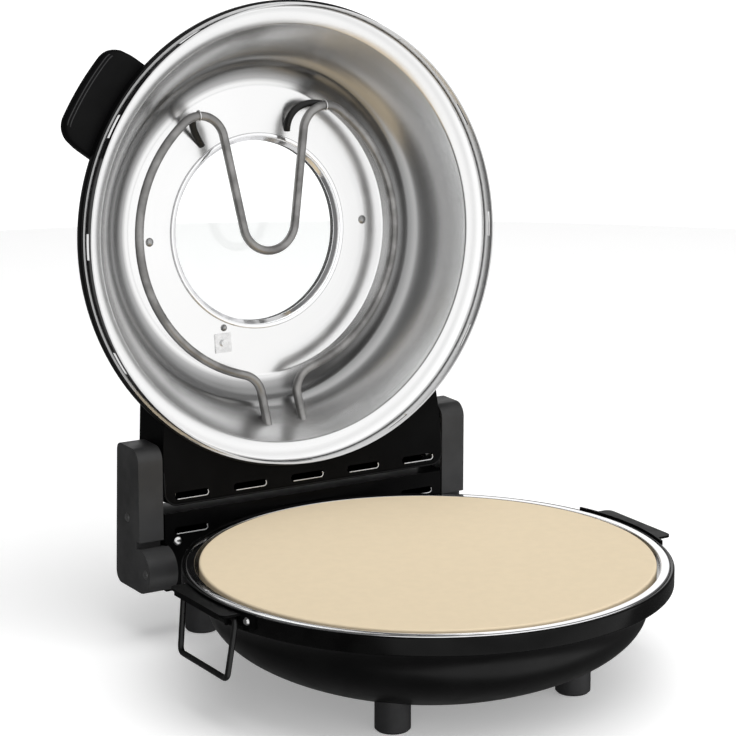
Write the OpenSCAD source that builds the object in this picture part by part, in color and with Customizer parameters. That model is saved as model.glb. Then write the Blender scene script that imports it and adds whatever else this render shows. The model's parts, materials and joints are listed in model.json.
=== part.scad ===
/* [Baking stone] */
// Diameter of the baking stone
stone_d = 310; // [290:1:320]
// Thickness of the baking stone
stone_t = 11; // [9:0.5:12]
// How far the stone stands above the rim
stone_proud = 1; // [0.5:0.1:1.5]

/* [Base bowl] */
// Height of the rim above the table
rim_top = 85.7; // [84:0.1:95]
// Height of the bowl's floor above the table
bowl_z = 17; // [15:0.5:19]
// Sheet thickness of the bowl
bowl_wall = 1.4; // [1:0.1:1.6]
// How far the bowl's belly stands in from the rim
belly_step = 17; // [14:1:18]
// How far the belly lies below the rim
belly_drop = 29.7; // [28:0.1:32]
// Height of the black rim band
band_h = 10.6; // [9:0.1:11]
// Wall of the black rim band
band_wall = 1.5; // [1.2:0.1:1.8]

/* [Trim and pan] */
// Gap between the stone and the bright trim ring
trim_gap = 3; // [2:0.1:4]
// Width of the bright trim ring
trim_w = 8.3; // [7:0.1:10]
// Thickness of the trim ring's rolled edge
trim_t = 2.5; // [2.2:0.1:3]
// Sheet thickness of the inner pan
pan_wall = 1.2; // [0.8:0.1:1.3]
// Width of the ledge under the stone's edge
ledge_w = 11; // [8:0.5:14]
// Height of the pan's floor above the bowl's floor
pan_rise = 17; // [16:0.5:20]

/* [Feet] */
// Diameter of a front foot
front_foot_d = 24; // [18:1:28]
// Distance between the front feet
front_foot_gap = 142.8; // [130:0.2:150]
// How far the front feet stand in front of the bowl's axis
front_foot_y = 71.9; // [60:0.1:76]
// Diameter of a rear foot
rear_foot_d = 24; // [18:1:26]
// Distance between the rear feet
rear_foot_gap = 164; // [140:1:176]

/* [Hinge] */
// Angle that the lid opens through
open_angle = 96.1; // [90:0.1:105]
// How far the hinge axis lies behind the rim
hinge_back = 7; // [6.5:0.1:9]
// Height of the hinge axis above the lid's flange plane
hinge_rise = 10; // [9:0.5:12]
// Diameter of a hinge pin
pin_d = 6; // [5:0.5:7]
// Radial clearance of a pin in its bush
pin_play = 0.05; // [0.02:0.01:0.09]
// Half the width of the rear housing
housing_half = 115; // [108:1:120]
// Wall of the rear housing
housing_wall = 2.5; // [2:0.1:3]
// Depth of the rear housing from its front plate to its back
housing_depth = 39.5; // [38:0.5:41]
// Radius of the rear housing's rounded upper back edge
housing_round = 14; // [8:1:18]
// Height of the housing's underside above the table
housing_z = 36; // [33:1:38]
// Width of a side tower
tower_w = 19; // [17:1:24]
// Height of a side tower's top above the hinge axis
tower_rise = 36; // [26:1:42]
// Depth of a side tower's foot from front to back
tower_depth = 38.5; // [36:0.5:42]
// Height of a tower's round nose above the table
nose_z = 54; // [52:0.5:56]
// Radius of the round nose at a tower's foot
nose_r = 15.8; // [14.5:0.1:16]
// Gap between a tower and the lid's housing
tower_gap = 1; // [0.6:0.1:1.5]

/* [Side handles] */
// Length of a side bracket along the rim
bracket_len = 75; // [74:1:77]
// How far a side bracket stands out from the rim
bracket_out = 11; // [10:0.5:14]
// Thickness of a side bracket's sheet
bracket_t = 1.6; // [1.2:0.1:1.8]
// Diameter of the bail wire
wire_d = 4; // [3.4:0.2:4.2]
// Length of a bail from its pivot to its grip
bail_len = 41; // [36:1:44]
// Half the width of a bail at its pivots
bail_half = 36; // [35:0.5:37]
// Radius of a bail's bends
bail_bend = 4.5; // [4:0.1:4.7]
// How much nearer the middle each side of a bail is at its grip
bail_taper = 3.5; // [2:0.5:5]
// Angle that a hanging bail stands out at
bail_tilt = 7; // [5:1:10]

/* [Lid] */
// Height of the slotted skirt below the lid's flange plane
skirt_drop = 9.7; // [9:0.1:11]
// Gap between the closed skirt and the rim
skirt_gap = 0.6; // [0.4:0.1:1]
// How far the skirt's outside stands in from the rim's
skirt_inset = 2.7; // [2.5:0.1:3.2]
// Length of a skirt slot
skirt_slot = 18; // [12:1:24]
// Number of skirt slots
skirt_slots = 12; // [8:1:14]
// Depth of the domed lid behind its flange plane
dome_depth = 63; // [61:1:70]
// Sheet thickness of the domed shell
shell_wall = 1.5; // [1.2:0.1:1.8]
// Width of the reflector's bright flange
flange_w = 13.5; // [12:0.1:15]
// Depth of the reflector's flat face behind the flange plane
reflector_depth = 53; // [50:0.5:53]
// Sheet thickness of the reflector
reflector_wall = 1; // [0.8:0.1:1.2]
// Radius of the reflector's flat face
reflector_flat_r = 106; // [104:1:109]

/* [Window] */
// Radius of the window ring's outer edge
window_r = 71.9; // [66:0.1:74]
// Thickness of the window glass
glass_t = 3; // [2:0.5:4]

/* [Heating elements] */
// Diameter of the heating tubes
tube_d = 6.4; // [5.6:0.2:6.8]
// Radius of the upper element's loop
upper_loop_r = 105.5; // [103:0.5:107]
// Depth of the upper element behind the flange plane
upper_depth = 35; // [33:1:37]
// Radius of the upper element's two humps
hump_r = 19.5; // [18:0.5:20.5]
// Angle from the lid's width to each hump
hump_angle = 52.8; // [51:0.2:55]
// Radius of the bend between the humps
dip_r = 21.5; // [18:0.5:23]
// How far that bend's centre lies from the lid's centre
dip_y = 8; // [4:1:12]
// Radius of the lower element's loop
lower_loop_r = 104; // [90:1:108]
// Height of the lower element above the pan's floor
lower_rise = 17; // [15:1:20]
// Half the distance between an element's two ends
lead_x = 14.6; // [13:0.2:18]
// Radius of the bends at an element's ends
lead_bend = 18; // [15:1:20]

/* [Lid handle and housing] */
// Direction of the lid handle, from the lid's right round its front
handle_angle = 142.5; // [90:0.5:145]
// Radius to the handle's outer edge
handle_r = 196; // [190:1:204]
// Width of the handle along the rim
handle_w = 76; // [66:1:84]
// Thickness of the handle
handle_t = 14; // [12:0.5:16]
// How far the handle lies behind the flange plane
handle_depth = 8; // [7:0.5:10]
// How far the lid's housing reaches past the hinge axis
lid_lip = 7.8; // [7.4:0.1:8.4]
// Depth of the lid's housing behind the flange plane
lid_housing_depth = 38; // [36:1:41]

/* [Vent slots] */
// Length of a vent slot
vent_len = 27; // [20:1:32]
// Height of a vent slot
vent_h = 5.4; // [4:0.2:6]
// Depth of the base's vent slots below the top of its housing
vent_drop = 13.5; // [12:0.5:15]
// Distance between neighbouring vent slots
vent_pitch = 47; // [42:1:47]

/* [Hidden] */
$fn = 96;
tube_fn = 24;
far = 400;
overlap = 0.01;
seat = 0.1;
contact = 0.02;
joint = 0.3;

stone_r = stone_d / 2;
stone_z = rim_top + stone_proud - stone_t;
trim_in = stone_r + trim_gap;
trim_out = trim_in + trim_w;
rim_r = trim_out + 0.7;
band_top = rim_top - trim_t;
band_z = band_top - band_h;
band_in = rim_r - band_wall;
bowl_floor_r = rim_r - 67;
bowl_lip_r = rim_r - 4.5;
bowl_lip_z = band_z + band_wall;
bowl_edge_r = band_in - seat;
belly_r = rim_r - belly_step;
belly_z = rim_top - belly_drop;

pan_z = bowl_z + pan_rise;
pan_in = trim_in - 0.4;
pan_edge_r = trim_out - trim_t - 0.2;
trim_sheet = 1;
ledge_in = stone_r - ledge_w;
pan_floor_r = ledge_in - 32;

lid_z = rim_top + skirt_gap + skirt_drop;
skirt_r = rim_r - skirt_inset;
skirt_wall = 1;
reflector_edge_r = skirt_r - skirt_wall - seat;
flange_in = reflector_edge_r - flange_w;
crown_r = 75;

hinge_y = rim_r + hinge_back;
hinge_z = lid_z + hinge_rise;
swing_gap = 0.3;
housing_top = hinge_z - norm([lid_lip, hinge_rise]) - swing_gap;
housing_y = skirt_r + 1.2;
cover_y = housing_y + housing_wall;
nose_y = housing_y + 0.5;
housing_back = housing_y + housing_depth;
saddle_half = 60;
saddle_z = housing_z + 6;
saddle_top = band_z - 2.5;

tower_x = housing_half + tower_gap + 0.3;
tower_out = tower_x + tower_w;
tower_top = hinge_z + tower_rise;
tower_z = nose_z - nose_r;
tower_ledge_z = nose_z + nose_r + 5;
tower_wall = 2.5;
nose_x = housing_half - 2;
arm_x = tower_x + 0.2;
arm_t = 3;
pin_r = pin_d / 2;
lid_half = housing_half + 0.3;
lid_back = hinge_y + lid_lip;
bush_r = pin_r + 2.2;
bush_len = 11;

plate_z = rim_top - 0.5 - bracket_t;
bracket_r = rim_r + seat;
bracket_x = rim_r + bracket_out;
wire_r = wire_d / 2;
pivot_x = rim_r + 0.3;
pivot_z = plate_z - wire_r - 0.4;
ear_y = bail_half - 1.1 * bail_bend - 0.2;
ear_drop = 4.6;
strap_t = 1.5;
strap_h = 10;
strap_angle = 17;
rivet_angle = 14.6;
rivet_r = 1.5;
rivet_z = band_top - 2.2;

tube_r = tube_d / 2;
lower_z = pan_z + pan_wall + lower_rise;
lower_lead_end = cover_y + 8;
upper_lead_end = hinge_y - 4;
upper_lead_drop = 16;
hump_c = (upper_loop_r - hump_r) * [cos(hump_angle), sin(hump_angle)];
dip_c = [0, dip_y];
leg_angle = atan2(hump_c[1] - dip_c[1], hump_c[0] - dip_c[0])
    + asin((hump_r + dip_r) / norm(hump_c - dip_c));

window_tube_r = window_r - 1.9;
window_wall = 1.4;
gasket_t = 0.8;
glass_r = window_tube_r - window_wall - 0.3;
glass_z = dome_depth - shell_wall - gasket_t - glass_t;
reflector_screw_x = (window_r + reflector_flat_r) / 2 - 0.4;
reflector_back = reflector_depth + reflector_wall;

front_foot_x = front_foot_gap / 2;
rear_foot_x = rear_foot_gap / 2;
rear_foot_y = cover_y + 7;
foot_bore_r = 2.2;
screw_r = 1.6;
screw_hole_r = screw_r + 0.2;
cover_screw_x = housing_half - 10;
cover_screw_z = nose_z + 18;
tower_screws_at = [[hinge_y + 10.3, hinge_z - 16.7], [nose_y - 9, nose_z]];
gland_x = 60;
gland_z = nose_z - 4;
gland_bore_r = 3.6;
gland_r = 6;

dome_back = hinge_y + (dome_depth - hinge_rise) * sin(open_angle)
    - (hinge_y + crown_r) * cos(open_angle);
bowl_y = (rim_r - dome_back) / 2;

function unit(v) = v / norm(v);
function backwards(p) = [for (i = [len(p) - 1:-1:0]) p[i]];
// Point at t of the curve from a to c that b pulls towards itself
function pulled(a, b, c, t) = (1 - t) * (1 - t) * a + 2 * t * (1 - t) * b + t * t * c;
function curve(a, b, c, n) = [for (i = [0:n]) pulled(a, b, c, i / n)];

// Moves the whole object so that the origin lies under the middle of the opened part
module in_frame() {
    translate([0, bowl_y, 0]) children();
}

// Lid pieces are drawn shut with heights counted from the lid's flange plane, then turned open
module opened() {
    translate([0, hinge_y, hinge_z]) rotate([-open_angle, 0, 0])
        translate([0, -hinge_y, lid_z - hinge_z]) children();
}

module both_sides() {
    children();
    mirror([1, 0, 0]) children();
}

// Turns a drawing of depth and height into a slab from x0 to x1
module side_slab(x0, x1) {
    translate([x0, 0, 0]) rotate([90, 0, 90]) linear_extrude(x1 - x0) children();
}

module plan_slab(z0, z1) {
    translate([0, 0, z0]) linear_extrude(z1 - z0) children();
}

module along_x(x0, x1, y, z, r) {
    translate([x0, y, z]) rotate([0, 90, 0]) cylinder(r = r, h = x1 - x0);
}

module along_y(y0, y1, x, z, r) {
    translate([x, y0, z]) rotate([-90, 0, 0]) cylinder(r = r, h = y1 - y0);
}

// A filled outline whose outward corners p are rounded, each by its own radius
module outline(p, r) {
    n = len(p);
    corners = [for (i = [0:n - 1])
        let (a = unit(p[(i + n - 1) % n] - p[i]), b = unit(p[(i + 1) % n] - p[i]),
            half = acos(a * b) / 2)
        [p[i] + a * r[i] / tan(half), p[i] + b * r[i] / tan(half),
            p[i] + unit(a + b) * r[i] / sin(half)]];
    polygon([for (i = [0:n - 1]) each r[i] > 0 ? [corners[i][0], corners[i][1]] : [p[i]]]);
    for (i = [0:n - 1]) {
        if (r[i] > 0) translate(corners[i][2]) circle(r = r[i]);
    }
}

module rounded_box(p, q, r) {
    outline([p, [q[0], p[1]], q, [p[0], q[1]]], r);
}

module tube_arc(centre, radius, from, to, r) {
    translate(centre) rotate([0, 0, from]) rotate_extrude(angle = to - from) translate([radius, 0])
        circle(r = r, $fn = tube_fn);
}

module rod(p, q, r) {
    d = q - p;
    translate(p) rotate([0, acos(d[2] / norm(d)), atan2(d[1], d[0])])
        cylinder(r = r, h = norm(d), $fn = tube_fn);
}

// A straight that runs a little way into the slightly thicker bends at its ends
module joined_rod(p, q, r) {
    d = unit(q - p) * joint;
    rod(p - d, q + d, r - contact);
}

// Domed screw pointing along +z, the seat of its head at the origin
module screw(length) {
    cylinder(r = screw_r, h = length, $fn = tube_fn);
    intersection() {
        translate([0, 0, 2.4]) sphere(r = 4, $fn = tube_fn);
        translate([0, 0, -1.6]) cylinder(r = 3.2, h = 1.6, $fn = tube_fn);
    }
}

// Outer line of the bowl from its floor to its lip, w inside its surface
function bowl_line(w) = concat(
    curve([bowl_floor_r, bowl_z + w], [belly_r - 4 - w, bowl_z + 17 + w / 2],
        [belly_r - w, belly_z], 10),
    [for (i = [1:5]) pulled([belly_r - w, belly_z], [belly_r + 1.5 - w, belly_z + 12],
        [bowl_lip_r - w, bowl_lip_z + w], i / 5)]
);

module bowl_space() {
    rotate_extrude() polygon(concat([[0, bowl_z - seat]], bowl_line(-seat),
        [[bowl_lip_r, rim_top], [0, rim_top]]));
}

module lead_holes(r) {
    both_sides() along_y(ledge_in - 20, cover_y + 1, lead_x, lower_z, r);
}

module base_bowl() {
    color("black") difference() {
        rotate_extrude() polygon(concat(
            [[0, bowl_z]], bowl_line(0),
            [[bowl_edge_r, bowl_lip_z], [bowl_edge_r, bowl_lip_z + bowl_wall]],
            backwards(bowl_line(bowl_wall)), [[0, bowl_z + bowl_wall]]
        ));
        lead_holes(tube_r + 1.3);
        both_sides() translate([front_foot_x, -front_foot_y, 0])
            cylinder(r = foot_bore_r, h = bowl_z + 12);
    }
}

module rim_band() {
    lip = bowl_lip_r + 0.5;
    color("black") difference() {
        rotate_extrude() {
            rounded_box([band_in, band_z], [rim_r, band_top - contact], [0, band_wall / 2 - 0.05, 0, 0]);
            translate([lip, band_z]) square([rim_r - 1 - lip, band_wall - contact]);
        }
        rivet_shanks(rivet_r + seat);
    }
}

module trim_ring() {
    roll = trim_t / 2;
    color("silver") rotate_extrude() {
        translate([trim_in + trim_sheet / 2, rim_top - trim_sheet / 2]) circle(d = trim_sheet);
        translate([trim_in + trim_sheet / 2, rim_top - trim_sheet])
            square([trim_w - roll - trim_sheet / 2, trim_sheet]);
        translate([trim_out - roll, rim_top - roll]) circle(r = roll);
    }
}

module inner_pan() {
    top = rim_top - trim_sheet - contact;
    hem_z = bowl_lip_z + bowl_wall + contact;
    ledge_z = stone_z - pan_wall;
    color("silver") difference() {
        rotate_extrude() polygon(concat(
            [[pan_edge_r, top], [pan_in, top], [pan_in, stone_z]],
            curve([ledge_in, stone_z], [ledge_in, belly_z - 10], [pan_floor_r, pan_z + pan_wall], 9),
            [[0, pan_z + pan_wall], [0, pan_z]],
            backwards(curve([ledge_in + pan_wall, ledge_z],
                [ledge_in + pan_wall, belly_z - 10 - pan_wall], [pan_floor_r, pan_z], 9)),
            [
                [pan_in + pan_wall, ledge_z], [pan_in + pan_wall, top - pan_wall],
                [pan_edge_r - pan_wall, top - pan_wall], [pan_edge_r - pan_wall, hem_z],
                [pan_edge_r, hem_z]
            ]
        ));
        lead_holes(tube_r + 0.2);
    }
}

// One half of the round loop that both elements share, up to the angle to, with its end bend
module half_loop(radius, to) {
    angle = -acos((lead_x + lead_bend) / (radius + lead_bend));
    centre = (radius + lead_bend) * [cos(angle), sin(angle), 0];
    tube_arc([0, 0, 0], radius, angle - 0.2, to, tube_r - contact);
    tube_arc(centre, lead_bend, 180 + angle, 180, tube_r);
}

function lead_start(radius) = sqrt(pow(radius + lead_bend, 2) - pow(lead_x + lead_bend, 2));

module lower_element() {
    color("dimgray") translate([0, 0, lower_z]) rotate([0, 0, 180]) both_sides() {
        half_loop(lower_loop_r, 90);
        joined_rod([lead_x, -lead_start(lower_loop_r), 0], [lead_x, -lower_lead_end, 0], tube_r);
    }
}

module lower_element_clips() {
    floor_z = pan_z + pan_wall + contact;
    color("silver") for (a = [-150, -90, -30]) rotate([0, 0, a]) difference() {
        union() {
            translate([lower_loop_r - tube_r - 1.5, -5, floor_z]) cube([tube_d + 3, 10, lower_rise]);
            translate([lower_loop_r - tube_r - 9, -5, floor_z]) cube([tube_d + 12, 10, 1.2]);
        }
        translate([0, 0, lower_z]) tube_arc([0, 0, 0], lower_loop_r, -8, 8, tube_r + seat);
        translate([lower_loop_r - tube_r, -6, floor_z + 1.2])
            cube([tube_d, 12, lower_rise - tube_r - 3]);
    }
}

module lower_element_terminals() {
    color("white") both_sides() {
        difference() {
            along_y(housing_y - 6, cover_y + 4, lead_x, lower_z, 5.5);
            along_y(housing_y - 7, cover_y + 5, lead_x, lower_z, tube_r + seat);
        }
        along_y(lower_lead_end + joint + contact, lower_lead_end + 10, lead_x, lower_z, 1.5);
    }
}

module thermostat() {
    color("white") {
        translate([-30, 60, pan_z - 8]) cylinder(r = 12, h = 8 - contact);
        for (x = [-37, -27]) translate([x, 59.5, pan_z - 12]) cube([4, 0.8, 5]);
    }
}

module thermal_fuse() {
    color("ivory") along_x(28, 50, 30, pan_z - 3 - contact, 3);
}

module terminal_block() {
    floor_z = housing_z + housing_wall + contact;
    color("ivory") difference() {
        translate([34, cover_y + 6, floor_z]) cube([30, 14, 11]);
        for (x = [39, 49, 59]) translate([x, cover_y + 13, floor_z + 4]) cylinder(r = 2, h = 10);
    }
}

// Section of the rear housing, w inside its surface
module housing_section(w) {
    rounded_box([cover_y - 5, housing_z + w], [housing_back - w, housing_top - w],
        [0, 6 - w, housing_round - w, 0]);
}

module nose_room() {
    both_sides() along_x(nose_x - 0.5, housing_half + 5, nose_y, nose_z, nose_r + 0.2);
}

module hinge_housing() {
    inner = housing_half - housing_wall;
    color("black") difference() {
        union() {
            difference() {
                side_slab(-housing_half, housing_half) housing_section(0);
                side_slab(-inner, inner) housing_section(housing_wall);
            }
            both_sides() translate([cover_screw_x - 4, cover_y - 1, cover_screw_z - 4])
                cube([inner + 1 - cover_screw_x + 4, 17, 8]);
        }
        translate([-far / 2, cover_y - far, 0]) cube(far);
        nose_room();
        both_sides() along_y(cover_y - 1, cover_y + 14, cover_screw_x, cover_screw_z, screw_hole_r);
        along_y(housing_back - 5, housing_back + 5, gland_x, gland_z, gland_r + seat);
        both_sides() translate([rear_foot_x, rear_foot_y, housing_z - 1])
            cylinder(r = foot_bore_r, h = 5);
    }
}

// Row of vent slots through a plate between z0 and z1
module vents(z0, z1) {
    half = [vent_len / 2, vent_h / 2];
    for (i = [-2:2]) translate([i * vent_pitch, 0, 0]) plan_slab(z0, z1)
        rounded_box(-half, half, (vent_h / 2 - 0.2) * [1, 1, 1, 1]);
}

module hinge_housing_cover() {
    color("black") difference() {
        translate([-housing_half, housing_y, housing_z])
            cube([2 * housing_half, housing_wall - contact, housing_top - housing_z]);
        translate([0, 0, band_z - 0.4]) cylinder(r = rim_r + 0.3, h = rim_top - band_z + 0.9);
        translate([0, cover_y + 1, housing_top - vent_drop]) rotate([90, 0, 0]) vents(0, housing_wall + 2);
        nose_room();
        lead_holes(5.6);
        both_sides() along_y(housing_y - 1, cover_y + 1, cover_screw_x, cover_screw_z, screw_hole_r);
    }
}

module housing_screws() {
    color("dimgray") both_sides() translate([cover_screw_x, housing_y - contact, cover_screw_z])
        rotate([-90, 0, 0]) screw(12);
}

// The neck between the bowl and the rear housing
module housing_saddle() {
    color("black") difference() {
        translate([-saddle_half, belly_r - 25, saddle_z])
            cube([2 * saddle_half, housing_y - contact - belly_r + 25, saddle_top - saddle_z]);
        bowl_space();
        lead_holes(5.6);
    }
}

module cord_gland() {
    color("black") difference() {
        union() {
            along_y(housing_back - 8, housing_back + 1, gland_x, gland_z, gland_r);
            along_y(housing_back + contact, housing_back + 4, gland_x, gland_z, gland_r + 1.5);
        }
        along_y(housing_back - 9, housing_back + 5, gland_x, gland_z, gland_bore_r);
    }
}

// A foot with a chamfered sole and a recess for its screw
module foot(r, height) {
    difference() {
        union() {
            cylinder(r1 = r - 1.5, r2 = r, h = 1.5);
            translate([0, 0, 1.5]) cylinder(r = r, h = height - 1.5);
        }
        translate([0, 0, -1]) cylinder(r = 4.5, h = 9);
        cylinder(r = foot_bore_r, h = height + 1);
    }
}

module front_feet() {
    color("dimgray") difference() {
        both_sides() translate([front_foot_x, -front_foot_y, 0])
            foot(front_foot_d / 2, bowl_z + 12);
        bowl_space();
    }
}

module rear_feet() {
    color("dimgray") both_sides() translate([rear_foot_x, rear_foot_y, 0])
        foot(rear_foot_d / 2, housing_z - contact);
}

module foot_screw(length) {
    translate([0, 0, 5]) cylinder(r = 4, h = 3 - contact);
    translate([0, 0, 5]) cylinder(r = foot_bore_r - 0.2, h = length - 5);
}

module foot_screws() {
    color("silver") both_sides() {
        translate([front_foot_x, -front_foot_y, 0]) foot_screw(bowl_z + 6);
        translate([rear_foot_x, rear_foot_y, 0]) foot_screw(housing_z + 6);
    }
}

// Side view of a tower, w inside its surface
module tower_section(w) {
    back = housing_y + tower_depth;
    front = housing_y + 5.5;
    translate([nose_y, nose_z]) circle(r = nose_r - w);
    translate([nose_y, tower_z + w]) square([10, nose_r]);
    outline(
        [
            [front + w, tower_z + w], [back - w, tower_z + w], [back - 5.3 - w, tower_top - w],
            [housing_y + w, tower_top - w], [housing_y + w, tower_ledge_z + w],
            [front + w, tower_ledge_z + w]
        ],
        [0, 8 - w, 6 - w, 10 - w, 0, 0]
    );
}

module tower() {
    difference() {
        union() {
            side_slab(tower_x, tower_out) tower_section(0);
            along_x(nose_x, tower_x + overlap, nose_y, nose_z, nose_r);
        }
        side_slab(tower_x - overlap, tower_out - tower_wall) tower_section(tower_wall);
        along_x(nose_x + tower_wall, tower_x + 1, nose_y, nose_z, nose_r - tower_wall);
        for (p = tower_screws_at) along_x(tower_out - 5, tower_out + 1, p[0], p[1], screw_hole_r);
    }
}

module tower_right() {
    color("dimgray") tower();
}

module tower_left() {
    color("dimgray") mirror([1, 0, 0]) tower();
}

module tower_screws() {
    color("silver") both_sides() for (p = tower_screws_at) {
        translate([tower_out + contact, p[0], p[1]]) rotate([0, -90, 0])
            screw(tower_out - arm_x - arm_t);
    }
}

// Steel plates in the towers that carry the pins, standing off the housing's ends
module hinge_arms() {
    color("gray") both_sides() difference() {
        union() {
            side_slab(arm_x, arm_x + arm_t) tower_section(tower_wall + 0.2);
            for (z = [nose_z - 8, nose_z + 8]) {
                along_x(housing_half + contact, arm_x + overlap, hinge_y + 14, z, 4);
            }
        }
        along_x(arm_x - 1, arm_x + arm_t + 1, hinge_y, hinge_z, pin_r + contact);
    }
}

module hinge_pins() {
    color("silver") both_sides() {
        along_x(lid_half - bush_len + 1, arm_x + arm_t + 1, hinge_y, hinge_z, pin_r);
        along_x(arm_x + arm_t + contact, arm_x + arm_t + 3, hinge_y, hinge_z, pin_r + 2.5);
    }
}

module at_rivets() {
    for (a = [rivet_angle, -rivet_angle, 180 + rivet_angle, 180 - rivet_angle]) {
        rotate([0, 0, a]) translate([0, 0, rivet_z]) children();
    }
}

module rivet_shanks(r) {
    at_rivets() along_x(band_in - 0.8, bracket_r + strap_t + 0.5, 0, 0, r);
}

module bracket_rivets() {
    color("silver") {
        rivet_shanks(rivet_r);
        at_rivets() translate([bracket_r + strap_t + contact, 0, 0]) rotate([0, 90, 0])
            cylinder(r1 = 2.7, r2 = 1.7, h = 1.2, $fn = tube_fn);
    }
}

module bracket() {
    half = bracket_len / 2;
    ear_z = pivot_z - ear_drop;
    difference() {
        union() {
            plan_slab(plate_z, plate_z + bracket_t)
                rounded_box([rim_r - 20, -half], [bracket_x, half], [0, 5, 5, 0]);
            translate([bracket_x - bracket_t, -ear_y + 1.5, pivot_z])
                cube([bracket_t, 2 * ear_y - 3, plate_z - pivot_z + overlap]);
            for (y = [-ear_y, ear_y - bracket_t]) translate([rim_r - 20, y, ear_z])
                cube([25, bracket_t, plate_z - ear_z + overlap]);
        }
        cylinder(r = bracket_r + strap_t / 2, h = far);
        both_sides() along_y(-ear_y - 1, ear_y + 1, pivot_x, pivot_z, wire_r + 0.15);
    }
    difference() {
        rotate([0, 0, -strap_angle]) rotate_extrude(angle = 2 * strap_angle)
            translate([bracket_r, rim_top + 1 - strap_h]) square([strap_t, strap_h]);
        rivet_shanks(rivet_r + seat);
        for (s = [-1, 1]) translate([rim_r - 20, s * (ear_y - 1.5) - 5.5, pivot_z - wire_r - 1.2])
            cube([40, 11, wire_d + 1.5]);
    }
}

module bracket_right() {
    color("black") bracket();
}

module bracket_left() {
    color("black") mirror([1, 0, 0]) bracket();
}

module baking_stone() {
    color("wheat") translate([0, 0, stone_z + contact]) rotate_extrude() polygon([
        [0, 0], [stone_r - 1, 0], [stone_r, 1], [stone_r, stone_t - 1.5],
        [stone_r - 0.5, stone_t - 0.5], [stone_r - 1.5, stone_t - contact], [0, stone_t - contact]
    ]);
}

// A flat wire through the given corners, each rounded to the same bend
module wire(p, bend, r) {
    n = len(p);
    reach = [for (i = [0:n - 1]) i == 0 || i == n - 1 ? 0
        : bend / tan(acos(unit(p[i - 1] - p[i]) * unit(p[i + 1] - p[i])) / 2)];
    for (i = [1:n - 2]) {
        a = unit(p[i - 1] - p[i]);
        b = unit(p[i + 1] - p[i]);
        centre = p[i] + unit(a + b) * norm([bend, reach[i]]);
        va = p[i] + a * reach[i] - centre;
        vb = p[i] + b * reach[i] - centre;
        from = atan2(va[1], va[0]);
        turn = atan2(va[0] * vb[1] - va[1] * vb[0], va * vb);
        tube_arc([centre[0], centre[1], 0], bend, min(from, from + turn), max(from, from + turn), r);
    }
    for (i = [0:n - 2]) {
        d = unit(p[i + 1] - p[i]);
        a = p[i] + d * reach[i];
        b = p[i + 1] - d * reach[i + 1];
        joined_rod([a[0], a[1], 0], [b[0], b[1], 0], r);
    }
}

module bail() {
    grip = bail_half - bail_taper;
    end = ear_y - bracket_t - 3;
    translate([pivot_x, 0, pivot_z]) rotate([0, -bail_tilt, 0]) rotate([90, 0, 90]) wire(
        [
            [end, 0], [bail_half, 0], [grip, -bail_len], [-grip, -bail_len], [-bail_half, 0],
            [-end, 0]
        ],
        bail_bend, wire_r
    );
}

module bail_right() {
    color("dimgray") bail();
}

module bail_left() {
    color("dimgray") mirror([1, 0, 0]) bail();
}

// Outer line of the domed shell from its edge to its flat crown, w inside its surface
function dome_line(w) = concat(
    [[rim_r - w, 0]],
    curve([rim_r - w, 5], [rim_r - 17 - w, dome_depth - 5 - w], [crown_r, dome_depth - w], 14)
);

module dome_space() {
    rotate_extrude() polygon(concat([[0, -1], [rim_r + seat, -1]], dome_line(-seat),
        [[0, dome_depth + seat]]));
}

// Places the handle's two screws, pointing outwards from the lid's inside
module at_handle_screws() {
    rotate([0, 0, -handle_angle]) for (s = [-7, 7]) rotate([0, 0, s])
        translate([rim_r - 7.2, 0, handle_depth + handle_t / 2]) rotate([0, 90, 0]) children();
}

module lid_shell() {
    hole = glass_r - 2.4;
    color("black") opened() difference() {
        rotate_extrude() polygon(concat(
            dome_line(0), [[hole, dome_depth], [hole, dome_depth - shell_wall]],
            backwards(dome_line(shell_wall))
        ));
        upper_leads(tube_r + 1.5);
        at_handle_screws() cylinder(r = screw_hole_r, h = 20);
    }
}

// Bright line of the reflector from its edge to its flat face, w behind it
function reflector_line(w) = concat(
    [[reflector_edge_r, w], [reflector_edge_r - 1.2, w], [flange_in + w / 2, 5.1 + w]],
    [for (i = [1:12]) pulled([flange_in, 5.1 + w], [flange_in - 15, reflector_depth - 7 + w],
        [reflector_flat_r, reflector_depth + w], i / 12)]
);

module lid_reflector() {
    hole = window_tube_r + 0.2;
    color("silver") opened() difference() {
        rotate_extrude() polygon(concat(
            reflector_line(0), [[hole, reflector_depth], [hole, reflector_back]],
            backwards(reflector_line(reflector_wall))
        ));
        upper_leads(tube_r + 0.3);
        both_sides() translate([reflector_screw_x, 0, 0])
            cylinder(r = screw_hole_r, h = dome_depth);
    }
}

module lid_skirt() {
    color("silver") opened() difference() {
        rotate_extrude() {
            translate([skirt_r - skirt_wall, -skirt_drop]) square([skirt_wall, skirt_drop + 3]);
            translate([skirt_r - skirt_wall, 1.2])
                square([rim_r - shell_wall - seat - skirt_r + skirt_wall, 1]);
        }
        for (i = [1:skirt_slots]) rotate([0, 0, 2.5 + 360 / skirt_slots * i])
            translate([skirt_r - 4, -skirt_slot / 2, -skirt_drop / 2 - 1.4])
            cube([8, skirt_slot, 3.2]);
    }
}

module window_ring() {
    inner = window_tube_r - window_wall;
    color("silver") opened() rotate_extrude() {
        translate([inner, reflector_depth - 1]) square([window_r - inner, 1 - contact]);
        translate([inner, reflector_depth - 1])
            square([window_wall, dome_depth - shell_wall - reflector_depth + 1 - contact]);
        translate([glass_r - 2.3, glass_z - 1.5 - contact])
            square([inner - glass_r + 2.3 + overlap, 1.5]);
    }
}

module window_glass() {
    color("lightblue", 0.4) opened() translate([0, 0, glass_z]) cylinder(r = glass_r, h = glass_t);
}

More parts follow.
